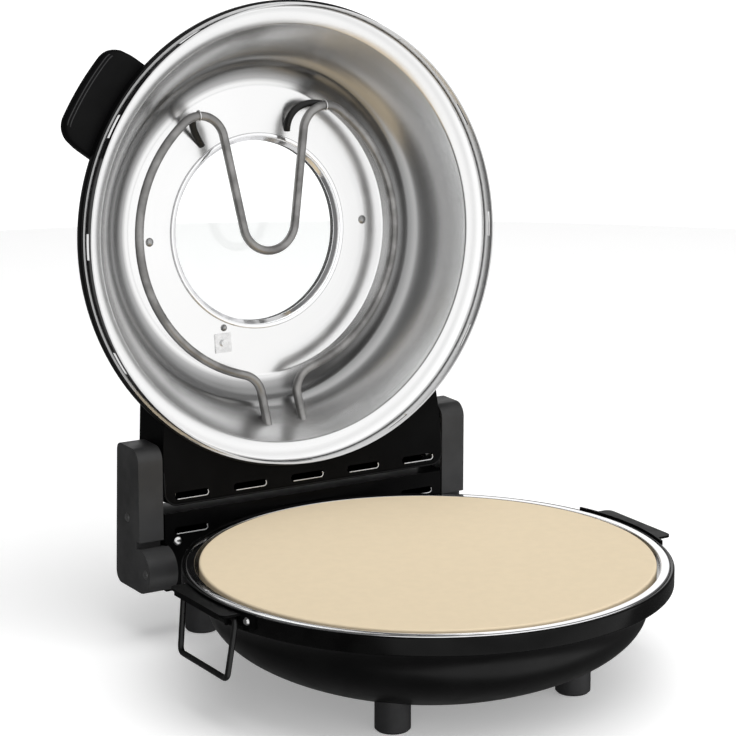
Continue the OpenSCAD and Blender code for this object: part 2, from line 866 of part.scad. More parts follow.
module window_gasket() {
    color("dimgray") opened() translate([0, 0, glass_z + glass_t + contact]) difference() {
        cylinder(r = glass_r, h = gasket_t - 2 * contact);
        translate([0, 0, -1]) cylinder(r = glass_r - 2.3, h = gasket_t + 2);
    }
}

// The upper element's two end legs, sloping from the loop into the lid's housing
module upper_leads(r) {
    both_sides() rod([lead_x, lead_start(upper_loop_r), upper_depth],
        [lead_x, upper_lead_end, upper_depth - upper_lead_drop], r);
}

module upper_tube(r) {
    leg = [cos(leg_angle - 90), sin(leg_angle - 90), 0];
    foot_point = [dip_c[0], dip_c[1], 0] + dip_r * leg;
    head_point = [hump_c[0], hump_c[1], 0] - hump_r * leg;
    tube_arc([hump_c[0], hump_c[1], 0], hump_r, hump_angle, leg_angle + 90, r);
    joined_rod(head_point, foot_point, r);
    tube_arc([dip_c[0], dip_c[1], 0], dip_r, -90, leg_angle - 90, r);
}

module upper_element() {
    color("dimgray") opened() {
        translate([0, 0, upper_depth]) rotate([0, 0, 180]) both_sides() {
            half_loop(upper_loop_r, hump_angle + 0.2);
            upper_tube(tube_r);
            translate([lead_x, -lead_start(upper_loop_r), 0])
                sphere(r = tube_r + contact, $fn = tube_fn);
        }
        upper_leads(tube_r - contact);
    }
}

// A bent strut from the top of a hump to the reflector, through the given points
module element_bracket(side, points) {
    top = [side * hump_c[0], hump_c[1] + hump_r, upper_depth];
    difference() {
        union() {
            along_x(top[0] - 2.1, top[0] + 2.1, top[1], top[2], tube_r + 1);
            for (i = [1:len(points) - 1]) {
                rod(points[i - 1], points[i], 2);
                translate(points[i - 1]) sphere(r = 2.1, $fn = tube_fn);
            }
        }
        translate([side * hump_c[0], hump_c[1], upper_depth])
            tube_arc([0, 0, 0], hump_r, 70, 110, tube_r + seat);
        translate([0, 0, reflector_depth - contact]) cylinder(r = reflector_flat_r, h = 10);
    }
}

module element_brackets() {
    top_y = hump_c[1] + hump_r;
    ring = window_r + 4;
    color("black") opened() rotate([0, 0, 180]) {
        mirror([1, 0, 0]) element_bracket(1, [
            [hump_c[0], top_y, upper_depth + tube_r + 1.5], [hump_c[0] - 18, top_y - 2, upper_depth + 8],
            [ring * cos(67), ring * sin(67), reflector_depth + 1]
        ]);
        element_bracket(1, [
            [hump_c[0], top_y, upper_depth + tube_r + 1.5], [hump_c[0], top_y - 9, upper_depth + 11],
            [ring * cos(57), ring * sin(57), reflector_depth + 1]
        ]);
    }
}

module element_terminals() {
    start = [lead_x, lead_start(upper_loop_r), upper_depth];
    end = [lead_x, upper_lead_end, upper_depth - upper_lead_drop];
    back = unit(start - end);
    color("white") opened() both_sides() {
        difference() {
            rod(end + back * 7.5, end + back * 1.5, tube_r + 1.6);
            rod(end + back * 9, end, tube_r + seat);
        }
        rod(end - back * contact, end - back * 5, 1.5);
    }
}

module sensor_clip() {
    color("silver") opened() translate([-34.5, 76, reflector_depth - 1 - contact]) {
        translate([-6.5, -4, 0]) cube([13, 14, 1]);
        translate([0, 3, -2]) cylinder(r = 2.5, h = 2 + overlap, $fn = tube_fn);
    }
}

module reflector_screws() {
    color("silver") opened() both_sides()
        translate([reflector_screw_x, 0, reflector_depth - contact]) screw(5);
}

module reflector_spacers() {
    color("silver") opened() both_sides()
        translate([reflector_screw_x, 0, reflector_back + contact]) difference() {
            cylinder(r = 4, h = dome_depth - shell_wall - reflector_back - 2.8);
            translate([0, 0, -1]) cylinder(r = screw_hole_r, h = 20);
        }
}

// Plan and side view of the lid's housing, w inside its surface
module lid_housing_body(w) {
    front = rim_r - 60;
    bend = lid_back - 30;
    intersection() {
        plan_slab(-1, far) outline(
            [
                [-lid_half + 4 + w, front], [lid_half - 4 - w, front], [lid_half - w, bend],
                [lid_half - w, lid_back - w], [-lid_half + w, lid_back - w], [-lid_half + w, bend]
            ],
            [0, 0, 0, 9 - w, 9 - w, 0]
        );
        side_slab(-far / 2, far / 2) rounded_box([0, w], [lid_back - w, lid_housing_depth - w],
            [0, w > 0 ? 0 : 2, 8 - w, 0]);
    }
}

module at_lid_housing_screws() {
    for (i = [-1.5, -0.5, 0.5, 1.5]) translate([i * vent_pitch, hinge_y - 1, 0]) children();
}

module lid_housing() {
    color("black") opened() difference() {
        union() {
            difference() {
                lid_housing_body(0);
                lid_housing_body(housing_wall);
                plan_slab(-1, housing_wall) square(far, center = true);
            }
            at_lid_housing_screws() translate([0, 0, housing_wall])
                cylinder(r = 4, h = lid_housing_depth - housing_wall - 1);
        }
        dome_space();
        both_sides() along_x(lid_half - bush_len - seat, lid_half + 1, hinge_y, hinge_rise,
            bush_r + seat);
        at_lid_housing_screws() translate([0, 0, lid_housing_depth - 13])
            cylinder(r = screw_hole_r, h = 20);
    }
}

module lid_housing_cover() {
    color("black") opened() difference() {
        intersection() {
            lid_housing_body(0);
            plan_slab(0, housing_wall - contact) square(far, center = true);
        }
        dome_space();
        translate([0, lid_back - 6.2, 0]) vents(-1, housing_wall + 1);
    }
}

module lid_housing_screws() {
    color("dimgray") opened() at_lid_housing_screws()
        translate([0, 0, lid_housing_depth + contact]) rotate([180, 0, 0]) screw(11);
}

module lid_handle() {
    bottom = handle_depth + handle_t;
    color("black") opened() difference() {
        rotate([0, 0, -handle_angle]) intersection() {
            rotate([0, 0, -20]) rotate_extrude(angle = 40)
                rounded_box([rim_r - 25, handle_depth], [handle_r, bottom], [0, 5.5, 6, 0]);
            plan_slab(0, far) rounded_box([rim_r - 40, -handle_w / 2], [handle_r, handle_w / 2],
                [0, 13, 13, 0]);
        }
        dome_space();
        at_handle_screws() cylinder(r = screw_hole_r, h = 21);
    }
}

module handle_screws() {
    color("silver") opened() at_handle_screws() screw(20);
}

module hinge_bushes() {
    color("gray") opened() both_sides() difference() {
        along_x(lid_half - bush_len, lid_half, hinge_y, hinge_rise, bush_r);
        along_x(lid_half - bush_len - 1, lid_half + 1, hinge_y, hinge_rise, pin_r + pin_play);
    }
}

in_frame() base_bowl();
in_frame() rim_band();
in_frame() trim_ring();
in_frame() inner_pan();
in_frame() lower_element();
in_frame() lower_element_clips();
in_frame() lower_element_terminals();
in_frame() thermostat();
in_frame() thermal_fuse();
in_frame() terminal_block();
in_frame() housing_saddle();
in_frame() hinge_housing();
in_frame() hinge_housing_cover();
in_frame() housing_screws();
in_frame() cord_gland();
in_frame() front_feet();
in_frame() rear_feet();
in_frame() foot_screws();
in_frame() tower_left();
in_frame() tower_right();
in_frame() tower_screws();
in_frame() hinge_arms();
in_frame() hinge_pins();
in_frame() bracket_left();
in_frame() bracket_right();
in_frame() bracket_rivets();
in_frame() baking_stone();
in_frame() bail_left();
in_frame() bail_right();
in_frame() lid_shell();
in_frame() lid_reflector();
in_frame() lid_skirt();
in_frame() window_ring();
in_frame() window_glass();
in_frame() window_gasket();
in_frame() upper_element();
in_frame() element_brackets();
in_frame() element_terminals();
in_frame() sensor_clip();
in_frame() reflector_screws();
in_frame() reflector_spacers();
in_frame() lid_housing();
in_frame() lid_housing_cover();
in_frame() lid_housing_screws();
in_frame() hinge_bushes();
in_frame() lid_handle();
in_frame() handle_screws();
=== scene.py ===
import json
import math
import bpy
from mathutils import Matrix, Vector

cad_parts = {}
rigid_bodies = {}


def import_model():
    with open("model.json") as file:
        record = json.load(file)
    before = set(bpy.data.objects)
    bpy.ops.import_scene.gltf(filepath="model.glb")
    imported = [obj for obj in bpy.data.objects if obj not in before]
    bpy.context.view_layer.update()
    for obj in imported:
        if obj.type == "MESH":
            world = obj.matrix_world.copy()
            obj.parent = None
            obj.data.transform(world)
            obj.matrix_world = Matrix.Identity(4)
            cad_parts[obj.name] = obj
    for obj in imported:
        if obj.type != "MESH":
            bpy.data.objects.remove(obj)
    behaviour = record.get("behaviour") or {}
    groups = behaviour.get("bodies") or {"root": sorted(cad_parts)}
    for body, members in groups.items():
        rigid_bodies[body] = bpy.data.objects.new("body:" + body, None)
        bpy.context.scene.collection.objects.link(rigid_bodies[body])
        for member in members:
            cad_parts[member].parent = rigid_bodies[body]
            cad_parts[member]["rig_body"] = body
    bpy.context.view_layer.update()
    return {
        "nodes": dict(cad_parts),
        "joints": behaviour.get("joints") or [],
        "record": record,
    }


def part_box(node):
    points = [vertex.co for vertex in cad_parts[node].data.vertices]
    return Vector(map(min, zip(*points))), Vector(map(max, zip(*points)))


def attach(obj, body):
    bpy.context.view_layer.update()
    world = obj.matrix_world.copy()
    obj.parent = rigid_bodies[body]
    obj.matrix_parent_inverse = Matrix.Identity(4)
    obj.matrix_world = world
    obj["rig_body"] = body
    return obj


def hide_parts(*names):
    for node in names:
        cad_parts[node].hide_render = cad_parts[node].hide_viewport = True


bl_info = {
    "name": "Pizza Maker",
    "version": (1, 0, 0),
    "blender": (4, 5, 0),
    "location": "3D View > Sidebar > Pizza Maker",
    "description": "Dresses the packed pizza maker with spun, pressed and moulded surfaces and its finishes",
    "category": "Object",
}

import bmesh
import bpy
import numpy as np
from bpy.props import FloatProperty, FloatVectorProperty, IntProperty, PointerProperty
from mathutils import Matrix, Vector

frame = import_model()

MM = 0.001
STONE_LOW, STONE_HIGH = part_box("baking_stone")
BAND_LOW, BAND_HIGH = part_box("rim_band")
AXIS_Y = (STONE_LOW[1] + STONE_HIGH[1]) / 2
STONE_R = (STONE_HIGH[0] - STONE_LOW[0]) / 2
RIM_R = (BAND_HIGH[0] - BAND_LOW[0]) / 2
RIM_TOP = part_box("trim_ring")[1][2]
HINGE = next(j for j in frame["joints"] if j["name"] == "lid_hinge")
LEAN = math.radians(HINGE["range_deg"][1])
HINGE_Y, HINGE_Z = HINGE["pos_m"][1:]
# The flange plane of the shut lid lies this far below the hinge's axis
PLANE_Z = HINGE_Z - 10 * MM
# The heating tube's radius, and its depth behind the flange plane
TUBE_R, TUBE_DEPTH = 3.2 * MM, 35 * MM

# The low cap on a tube's end: its reach and its width as shares of the tube's radius
CAP_REACH, CAP_WIDTH = 0.18, 0.72
# Merged copies: points this close are one, and turns of this many degrees are flat or sharp
WELD_GAP, FLAT_TURN, SHARP_TURN = 2e-6, 0.6, 32

# The part of a noise's range that is spread over a finish
NOISE_SPAN = (0.3, 0.7)
# The reflector's edge, and the tone of a painted reflection at shares of that radius (a darker cove in place
# of the dark surroundings the steel mirrors), with the outer two shares first
REFLECTOR_R = 165 * MM
PAINTED_REFLECTION_TONES = (
    (0.655, 1.0), (1.0, 1.0), (0.675, 0.5), (0.705, 0.3), (0.755, 0.34), (0.795, 0.62),
    (0.85, 0.85), (0.9, 0.8), (0.915, 1.0),
)
# Sockets of a Mix node that mixes colours
MIX_FACTOR, MIX_A, MIX_B, MIX_RESULT = 0, 6, 7, 2

FLOOR_R, FLOOR_TURNS, FLOOR_GLOW = 1.7, 96, 0.3
OVERHEAD_WATTS = 40
SKY_STRENGTH = 1.3
# The direction to each bright panel of the sky, and the grey at each cosine to it, outer two first
PANEL_SIDE = (0.19, -0.97, 0.13)
PANEL_STEPS = ((0.1, 0.08), (0.97, 1.0), (0.34, 0.14), (0.49, 0.88), (0.78, 0.9), (0.88, 0.68))
REAR_SIDE = (0.5, 0.835, 0.23)
REAR_STEPS = ((0.93, 0.0), (0.98, 0.9))
# The camera: degrees round to the left and up, lens and sensor in millimetres, and metres to the
# right of the bowl's axis, above the table and away
VIEW_LEFT, VIEW_UP = 30.92, 13.31
LENS, SENSOR = 142.7, 36
EYE_RIGHT, EYE_UP, EYE_AWAY = -0.0404, 0.2131, 2.0


def lid_matrix():
    """Carries a point of the shut lid, with its axis upright at the origin and heights counted
    from the flange plane, to its open place: turned by the lean about the hinge."""
    shut = Matrix.Translation((0, AXIS_Y, PLANE_Z))
    hinge = Matrix.Translation((0, HINGE_Y, HINGE_Z))
    return hinge @ Matrix.Rotation(-LEAN, 4, "X") @ hinge.inverted() @ shut


LID = lid_matrix()
BOWL = Matrix.Translation((0, AXIS_Y, 0))


# Surfaces


def pulled(a, b, c, count):
    """Points of the curve from a to c that b pulls towards itself: (1-t)^2 a + 2t(1-t) b + t^2 c."""
    t = np.linspace(0, 1, count)[:, None]
    return (1 - t) ** 2 * np.array(a) + 2 * t * (1 - t) * np.array(b) + t**2 * np.array(c)


def round_corner(centre, radius, start, end, count=7):
    """Points of an arc in the section's plane, from one angle to another in degrees."""
    a = np.radians(np.linspace(start, end, count))
    return np.stack([centre[0] + radius * np.cos(a), centre[1] + radius * np.sin(a)], 1)


def make_piece(name, points, faces, matrix, body, slot, *stands_for):
    """A smooth object from arrays, placed by baking the matrix into its points, riding on a body."""
    rot = np.array(matrix.to_3x3())
    placed = points @ rot.T + np.array(matrix.translation)
    mesh = bpy.data.meshes.new(name)
    mesh.from_pydata(placed.tolist(), [], faces)
    mesh.validate()
    mesh.polygons.foreach_set("use_smooth", np.ones(len(mesh.polygons), bool))
    piece = bpy.data.objects.new(name, mesh)
    bpy.context.scene.collection.objects.link(piece)
    face_outwards(mesh)
    if stands_for:
        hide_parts(*stands_for)
    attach(piece, body)
    mesh.materials.append(finish(slot))
    return piece


def face_outwards(mesh):
    """Turns the faces of each closed shell outwards."""
    work = bmesh.new()
    work.from_mesh(mesh)
    bmesh.ops.recalc_face_normals(work, faces=work.faces)
    work.to_mesh(mesh)
    work.free()


def grid_faces(rows, columns, close_rows, close_columns):
    """Quads of a grid of rows by columns, wrapped round where a direction closes on itself."""
    r = np.arange(rows if close_rows else rows - 1)
    c = np.arange(columns if close_columns else columns - 1)
    r0, c0 = np.meshgrid(r, c, indexing="ij")
    r1, c1 = (r0 + 1) % rows, (c0 + 1) % columns
    quads = [r0 * columns + c0, r0 * columns + c1, r1 * columns + c1, r1 * columns + c0]
    return np.stack(quads, -1).reshape(-1, 4)


def capped_faces(rings, sides):
    """Quads between the rings of a tube, and one face over each end."""
    last = (rings - 1) * sides
    ends = [list(range(sides))[::-1], list(range(last, last + sides))]
    return grid_faces(rings, sides, False, True).tolist() + ends


def lathe(section, turns):
    """Spins a section of (radius, height) points: (r cos a, r sin a, h). A section that starts and
    ends on the axis is a closed body with a pole at each end, any other is closed on itself."""
    a = np.linspace(0, 2 * np.pi, turns, endpoint=False)
    r, h = section[:, 0:1], section[:, 1:2]
    grid = np.stack([r * np.cos(a), r * np.sin(a), h + 0 * a], -1)
    rows = len(section)
    if section[0, 0] > 1e-9:
        return grid.reshape(-1, 3), grid_faces(rows, turns, True, True).tolist()
    inner = grid[1:-1].reshape(-1, 3)
    poles = grid[[0, -1], 0]
    faces = grid_faces(rows - 2, turns, False, True).tolist()
    k = np.arange(turns)
    n = (k + 1) % turns
    last = (rows - 3) * turns
    low, high = len(inner), len(inner) + 1
    faces += np.stack([k * 0 + low, n, k], 1).tolist()
    faces += np.stack([k * 0 + high, last + k, last + n], 1).tolist()
    return np.concatenate([inner, poles]), faces


def tube(path, radius, sides=20, flat=1.0, side=(0.31, 0.17, 0.93)):
    """Carries a circle or an ellipse along a path: each ring is centre + radius (cos a N + flat sin a B),
    where N is carried on from ring to ring square to the path. Both ends close in a low cap."""
    path = np.asarray(path, float)
    ahead = np.gradient(path, axis=0)
    ahead /= np.linalg.norm(ahead, axis=1)[:, None]
    side = np.cross(ahead[0], side)
    sides_along = np.empty_like(path)
    for i, t in enumerate(ahead):
        side = side - t * (side @ t)
        side /= np.linalg.norm(side)
        sides_along[i] = side
    other = np.cross(ahead, sides_along)
    a = np.linspace(0, 2 * np.pi, sides, endpoint=False)[None, :, None]
    ring = np.cos(a) * sides_along[:, None] + flat * np.sin(a) * other[:, None]
    reach, width = CAP_REACH * radius, CAP_WIDTH * radius
    first = path[0] - ahead[0] * reach + width * ring[0]
    last = path[-1] + ahead[-1] * reach + width * ring[-1]
    rings = np.concatenate([[first], path[:, None] + radius * ring, [last]])
    return rings.reshape(-1, 3), capped_faces(len(rings), sides)


def bend(centre, radius, start, end, step=3.0):
    """Points of a flat arc about a centre, every few degrees."""
    return round_corner(centre, radius, start, end, max(3, int(abs(end - start) / step)))


def merged_copy(node, slot, width):
    """A copy of a CAD node with its loose triangles joined, flat faces cleared of inner edges, and
    its sharp edges rounded to the given width."""
    name = "finished_" + node
    source = frame["nodes"][node]
    sharp = math.radians(SHARP_TURN)
    mesh = source.data.copy()
    mesh.name = name
    work = bmesh.new()
    work.from_mesh(mesh)
    bmesh.ops.remove_doubles(work, verts=work.verts, dist=WELD_GAP)
    flat = math.radians(FLAT_TURN)
    bmesh.ops.dissolve_limit(work, angle_limit=flat, verts=work.verts, edges=work.edges)
    for face in work.faces:
        face.smooth = True
    for edge in work.edges:
        if len(edge.link_faces) == 2 and edge.calc_face_angle() > sharp:
            edge.smooth = False
    work.to_mesh(mesh)
    work.free()
    mesh.materials.clear()
    piece = bpy.data.objects.new(name, mesh)
    bpy.context.scene.collection.objects.link(piece)
    if width:
        soften = piece.modifiers.new("Edges", "BEVEL")
        soften.width = width
        soften.segments = 2
        soften.limit_method = "ANGLE"
        soften.angle_limit = sharp
        soften.harden_normals = True
    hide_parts(node)
    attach(piece, source["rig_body"])
    mesh.materials.append(finish(slot))
    return piece


# Finishes: noise in the colour and the gloss, and a fine relief. Noise scales are per metre, depths
# in metres.


def add_node(material, kind, **values):
    """A shader node with its plain values set, by property or by the name of its input."""
    node = material.node_tree.nodes.new("ShaderNode" + kind)
    for key, value in values.items():
        if hasattr(node, key):
            setattr(node, key, value)
        else:
            node.inputs[key.replace("_", " ")].default_value = value
    return node


def join(material, a, out, b, into):
    """Links an output of one node to an input of another."""
    material.node_tree.links.new(a.outputs[out], b.inputs[into])


def shader_of(material):
    """The surface shader of a material."""
    return next(n for n in material.node_tree.nodes if n.type == "BSDF_PRINCIPLED")


def base_finish(name, colour, roughness, metallic=0.0, **sockets):
    """A material whose steady values sit on the shader's own sockets."""
    material = bpy.data.materials.new("finish_" + name)
    material.use_nodes = True
    shader = shader_of(material)
    shader.inputs["Base Color"].default_value = (*colour[:3], 1)
    shader.inputs["Roughness"].default_value = roughness
    shader.inputs["Metallic"].default_value = metallic
    for key, value in sockets.items():
        shader.inputs[key.replace("_", " ")].default_value = value
    material.diffuse_color = (*colour[:3], 1)
    return material


def place(material, about=None):
    """Object coordinates, turned so that the lid's axis is upright where a piece rides on the lid."""
    coords = add_node(material, "TexCoord")
    if about is None:
        return coords, "Object"
    turn = add_node(material, "Mapping", vector_type="TEXTURE")
    turn.inputs["Location"].default_value = about.translation
    turn.inputs["Rotation"].default_value = about.to_euler()
    join(material, coords, "Object", turn, "Vector")
    return turn, "Vector"


def mottle(material, where, scale, low, high, into, detail=4.0):
    """Noise between two values or two colours, fed to one input of the shader."""
    noise = add_node(material, "TexNoise", Scale=scale, Detail=detail)
    join(material, *where, noise, "Vector")
    if isinstance(low, (tuple, list)):
        ramp = add_node(material, "ValToRGB")
        ramp.color_ramp.interpolation = "EASE"
        for step, at, colour in zip(ramp.color_ramp.elements, NOISE_SPAN, (low, high)):
            step.position = at
            step.color = (*colour[:3], 1)
        join(material, noise, "Fac", ramp, "Fac")
        join(material, ramp, "Color", shader_of(material), into)
    else:
        span = add_node(
            material, "MapRange", interpolation_type="SMOOTHSTEP",
            From_Min=NOISE_SPAN[0], From_Max=NOISE_SPAN[1], To_Min=low, To_Max=high,
        )
        join(material, noise, "Fac", span, "Value")
        join(material, span, "Result", shader_of(material), into)


def from_axis(material, where, scale=1.0):
    """The scaled distance from the upright axis: the length of the coordinates without their height."""
    level = add_node(material, "VectorMath", operation="MULTIPLY")
    level.inputs[1].default_value = (scale, scale, 0)
    join(material, *where, level, 0)
    far = add_node(material, "VectorMath", operation="LENGTH")
    join(material, level, "Vector", far, 0)
    return far, "Value"


def grain(material, where, scale, depth, strength, detail=3.0, spun=False):
    """Relief from noise. Spun relief depends only on the distance from the axis, so it runs in rings."""
    noise = add_node(material, "TexNoise", Scale=scale, Detail=detail)
    if spun:
        noise.noise_dimensions = "1D"
        join(material, *from_axis(material, where), noise, "W")
    else:
        join(material, *where, noise, "Vector")
    bump = add_node(material, "Bump", Strength=strength, Distance=depth)
    normal = shader_of(material).inputs["Normal"]
    if normal.is_linked:
        join(material, normal.links[0].from_node, "Normal", bump, "Normal")
    join(material, noise, "Fac", bump, "Height")
    join(material, bump, "Normal", shader_of(material), "Normal")


def grey_steps(ramp, steps):
    """Sets a ramp's greys, the outer two on the steps that it starts with."""
    for k, (at, grey) in enumerate(steps):
        step = ramp.elements[k] if k < 2 else ramp.elements.new(at)
        step.position = at
        step.color = (grey, grey, grey, 1)


def shades(colour, low, high):
    """A darker and a lighter shade of a colour."""
    return tuple(low * v for v in colour), tuple(high * v for v in colour)


def black_enamel():
    """Fired enamel of the bowl and the dome: a faintly cloudy tone and a fine grain."""
    colour = bpy.context.scene.pizza_finish.enamel_colour
    m = base_finish("black_enamel", colour, 0.32, Specular_IOR_Level=0.22)
    where = place(m)
    mottle(m, where, 38, *shades(colour, 0.8, 1.3), "Base Color")
    mottle(m, where, 55, 0.3, 0.38, "Roughness")
    grain(m, where, 900, 0.00003, 0.25)
    return m


def black_band():
    """Glossy black of the rim band."""
    m = base_finish("black_band", (0.002, 0.002, 0.002), 0.15, Specular_IOR_Level=0.12)
    where = place(m)
    mottle(m, where, 60, (0.0015, 0.0015, 0.0015), (0.003, 0.003, 0.003), "Base Color")
    mottle(m, where, 70, 0.12, 0.2, "Roughness")
    grain(m, where, 700, 0.00003, 0.2)
    return m


def black_paint():
    """Satin paint of the housings and their plates."""
    colour = bpy.context.scene.pizza_finish.paint_colour
    m = base_finish("black_paint", colour, 0.3, Specular_IOR_Level=0.04)
    where = place(m)
    mottle(m, where, 45, *shades(colour, 0.8, 1.35), "Base Color")
    mottle(m, where, 80, 0.32, 0.42, "Roughness")
    grain(m, where, 1400, 0.00004, 0.3)
    return m


def moulded(name, colour, roughness, shine=0.3):
    """Moulded plastic with a fine spark-eroded texture and faint flow marks."""
    m = base_finish(name, colour, roughness, Specular_IOR_Level=shine)
    where = place(m)
    mottle(m, where, 30, *shades(colour, 0.85, 1.25), "Base Color")
    mottle(m, where, 90, roughness - 0.06, roughness + 0.06, "Roughness")
    grain(m, where, 1800, 0.00006, 0.35, detail=2.0)
    return m


def black_plastic():
    """Moulded plastic such as the towers'."""
    return moulded("black_plastic", bpy.context.scene.pizza_finish.plastic_colour, 0.5)


def handle_plastic():
    """The darker plastic of the lid's handle."""
    return moulded("handle_plastic", (0.003, 0.003, 0.0031), 0.45, 0.08)


def dark_plastic():
    """The feet's plastic."""
    return moulded("dark_plastic", (0.02, 0.02, 0.021), 0.58)


def chromed():
    """Mirror-like trim."""
    m = base_finish("chromed", (0.86, 0.86, 0.87), 0.07, 1.0)
    where = place(m)
    mottle(m, where, 90, 0.05, 0.1, "Roughness")
    grain(m, where, 400, 0.00001, 0.1)
    return m


def bright_steel():
    """Drawn steel with fine spun rings."""
    m = base_finish("bright_steel", (0.6, 0.6, 0.6), 0.14, 1.0)
    where = place(m, LID)
    mottle(m, where, 60, 0.12, 0.17, "Roughness", detail=1)
    grain(m, where, 1500, 0.00003, 0.25, spun=True)
    return m


def reflector_steel():
    """The lid's bright inside: broad and fine spun rings, and a cove darkened by a painted reflection."""
    m = base_finish("reflector_steel", bpy.context.scene.pizza_finish.reflector_colour, 0.24, 1.0)
    where = place(m, LID)
    mottle(m, where, 22, 0.225, 0.255, "Roughness", detail=1)
    grain(m, where, 200, 0.00012, 0.2, spun=True)
    grain(m, where, 2200, 0.00002, 0.25, spun=True)
    # Painted reflection: darker rings of tone in the cove, set in the base colour
    painted_reflection_rings(m, where)
    return m


def painted_reflection_rings(material, where):
    """Painted reflection: darkens the drawn wall between the flat face and the flange, in place of the dark
    surroundings that it mirrors: a ramp of the distance from the axis times the reflector's colour."""
    ramp = add_node(material, "ValToRGB")
    grey_steps(ramp.color_ramp, PAINTED_REFLECTION_TONES)
    join(material, *from_axis(material, where, 1 / REFLECTOR_R), ramp, "Fac")
    tint = add_node(material, "Mix", data_type="RGBA", blend_type="MULTIPLY")
    tint.inputs[MIX_FACTOR].default_value = 1
    tint.inputs[MIX_B].default_value = (*bpy.context.scene.pizza_finish.reflector_colour, 1)
    join(material, ramp, "Color", tint, MIX_A)
    join(material, tint, MIX_RESULT, shader_of(material), "Base Color")


def tube_steel():
    """Steel of the heating tubes, dulled by heat."""
    m = base_finish("tube_steel", (0.25, 0.245, 0.24), 0.34, 0.9)
    where = place(m)
    mottle(m, where, 70, (0.18, 0.177, 0.174), (0.32, 0.315, 0.31), "Base Color")
    mottle(m, where, 120, 0.3, 0.44, "Roughness")
    grain(m, where, 1600, 0.00005, 0.4)
    return m


def zinc_steel():
    """Zinc-plated steel; the same bright metal gives the vent slots' lips their painted highlight."""
    m = base_finish("zinc_steel", (0.6, 0.6, 0.6), 0.28, 1.0)
    where = place(m)
    mottle(m, where, 300, (0.66, 0.66, 0.66), (0.76, 0.76, 0.76), "Base Color", detail=1)
    mottle(m, where, 200, 0.24, 0.32, "Roughness", detail=1)
    return m


def dark_screw():
    """Steel of the screws."""
    m = base_finish("dark_screw", (0.35, 0.35, 0.35), 0.3, 1.0)
    where = place(m)
    mottle(m, where, 300, (0.28, 0.28, 0.28), (0.42, 0.42, 0.42), "Base Color")
    mottle(m, where, 200, 0.24, 0.4, "Roughness")
    return m


def wire_black():
    """Coated black wire."""
    m = base_finish("wire_black", (0.005, 0.005, 0.005), 0.3, Specular_IOR_Level=0.35)
    where = place(m)
    mottle(m, where, 90, (0.004, 0.004, 0.004), (0.008, 0.008, 0.008), "Base Color")
    mottle(m, where, 120, 0.26, 0.38, "Roughness")
    grain(m, where, 1200, 0.00004, 0.25)
    return m


def stone_clay():
    """Fired clay: an almost even tone with a coarse and a fine grain."""
    colour = bpy.context.scene.pizza_finish.stone_colour
    m = base_finish("stone_clay", colour, 0.85)
    where = place(m)
    mottle(m, where, 130, *shades(colour, 0.985, 1.01), "Base Color")
    mottle(m, where, 500, 0.78, 0.92, "Roughness")
    grain(m, where, 1100, 0.00008, 0.35)
    grain(m, where, 240, 0.0001, 0.12)
    return m


def clear_glass():
    """The window's glass."""
    m = base_finish("clear_glass", (0.97, 0.985, 0.98), 0.02, Transmission_Weight=1.0, IOR=1.48)
    where = place(m)
    mottle(m, where, 40, 0.01, 0.03, "Roughness")
    return m


def seal_rubber():
    """The window's gasket."""
    return moulded("seal_rubber", (0.02, 0.02, 0.02), 0.7)


def white_ceramic():
    """Insulators at the ends of the elements."""
    m = base_finish("white_ceramic", (0.78, 0.76, 0.7), 0.6)
    where = place(m)
    mottle(m, where, 120, (0.7, 0.68, 0.62), (0.84, 0.82, 0.77), "Base Color")
    grain(m, where, 900, 0.00005, 0.3)
    return m


FINISHES = {
    f.__name__: f
    for f in (
        black_enamel, black_band, black_paint, black_plastic, handle_plastic, dark_plastic,
        chromed, bright_steel, reflector_steel, tube_steel, zinc_steel, dark_screw, wire_black,
        stone_clay, clear_glass, seal_rubber, white_ceramic,
    )
}


def finish(slot):
    """The finish of a slot, made once."""
    return bpy.data.materials.get("finish_" + slot) or FINISHES[slot]()


# Sizes and colours that a user would change


class PIZZA_PG_base(bpy.types.PropertyGroup):
    belly_step: FloatProperty(
        name="Belly Step", default=17 * MM, unit="LENGTH",
        description="How far the bowl's belly stands in from the rim",
    )
    floor_radius: FloatProperty(
        name="Floor Radius", default=RIM_R - 67 * MM, unit="LENGTH",
        description="Radius of the bowl's flat floor",
    )
    floor_height: FloatProperty(
        name="Floor Height", default=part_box("base_bowl")[0][2], unit="LENGTH",
        description="Height of the bowl's floor above the table",
    )
    stone_edge: FloatProperty(
        name="Stone Edge", default=1.5 * MM, unit="LENGTH",
        description="Rounding of the stone's upper edge",
    )
    turns: IntProperty(
        name="Turns", default=256, min=48, max=512,
        description="Faces round a turned piece",
    )


class PIZZA_PG_lid(bpy.types.PropertyGroup):
    depth: FloatProperty(
        name="Dome Depth", default=63 * MM, unit="LENGTH",
        description="Depth of the dome behind its flange plane",
    )
    face_depth: FloatProperty(
        name="Reflector Depth", default=53 * MM, unit="LENGTH",
        description="Depth of the reflector's flat face",
    )
    bead_radius: FloatProperty(
        name="Bead Radius", default=124 * MM, unit="LENGTH",
        description="Radius of the soft ring bead in the reflector",
    )
    loop_radius: FloatProperty(
        name="Loop Radius", default=105.5 * MM, unit="LENGTH",
        description="Radius of the heating tube's loop",
    )
    hump_radius: FloatProperty(
        name="Hump Radius", default=19.5 * MM, unit="LENGTH",
        description="Radius of the heating tube's two humps",
    )
    hump_angle: FloatProperty(
        name="Hump Angle", default=math.radians(52.8), subtype="ANGLE",
        description="Angle from the lid's width to each hump",
    )
    handle_angle: FloatProperty(
        name="Handle Angle", default=math.radians(142.5), subtype="ANGLE",
        description="Direction of the lid's handle",
    )


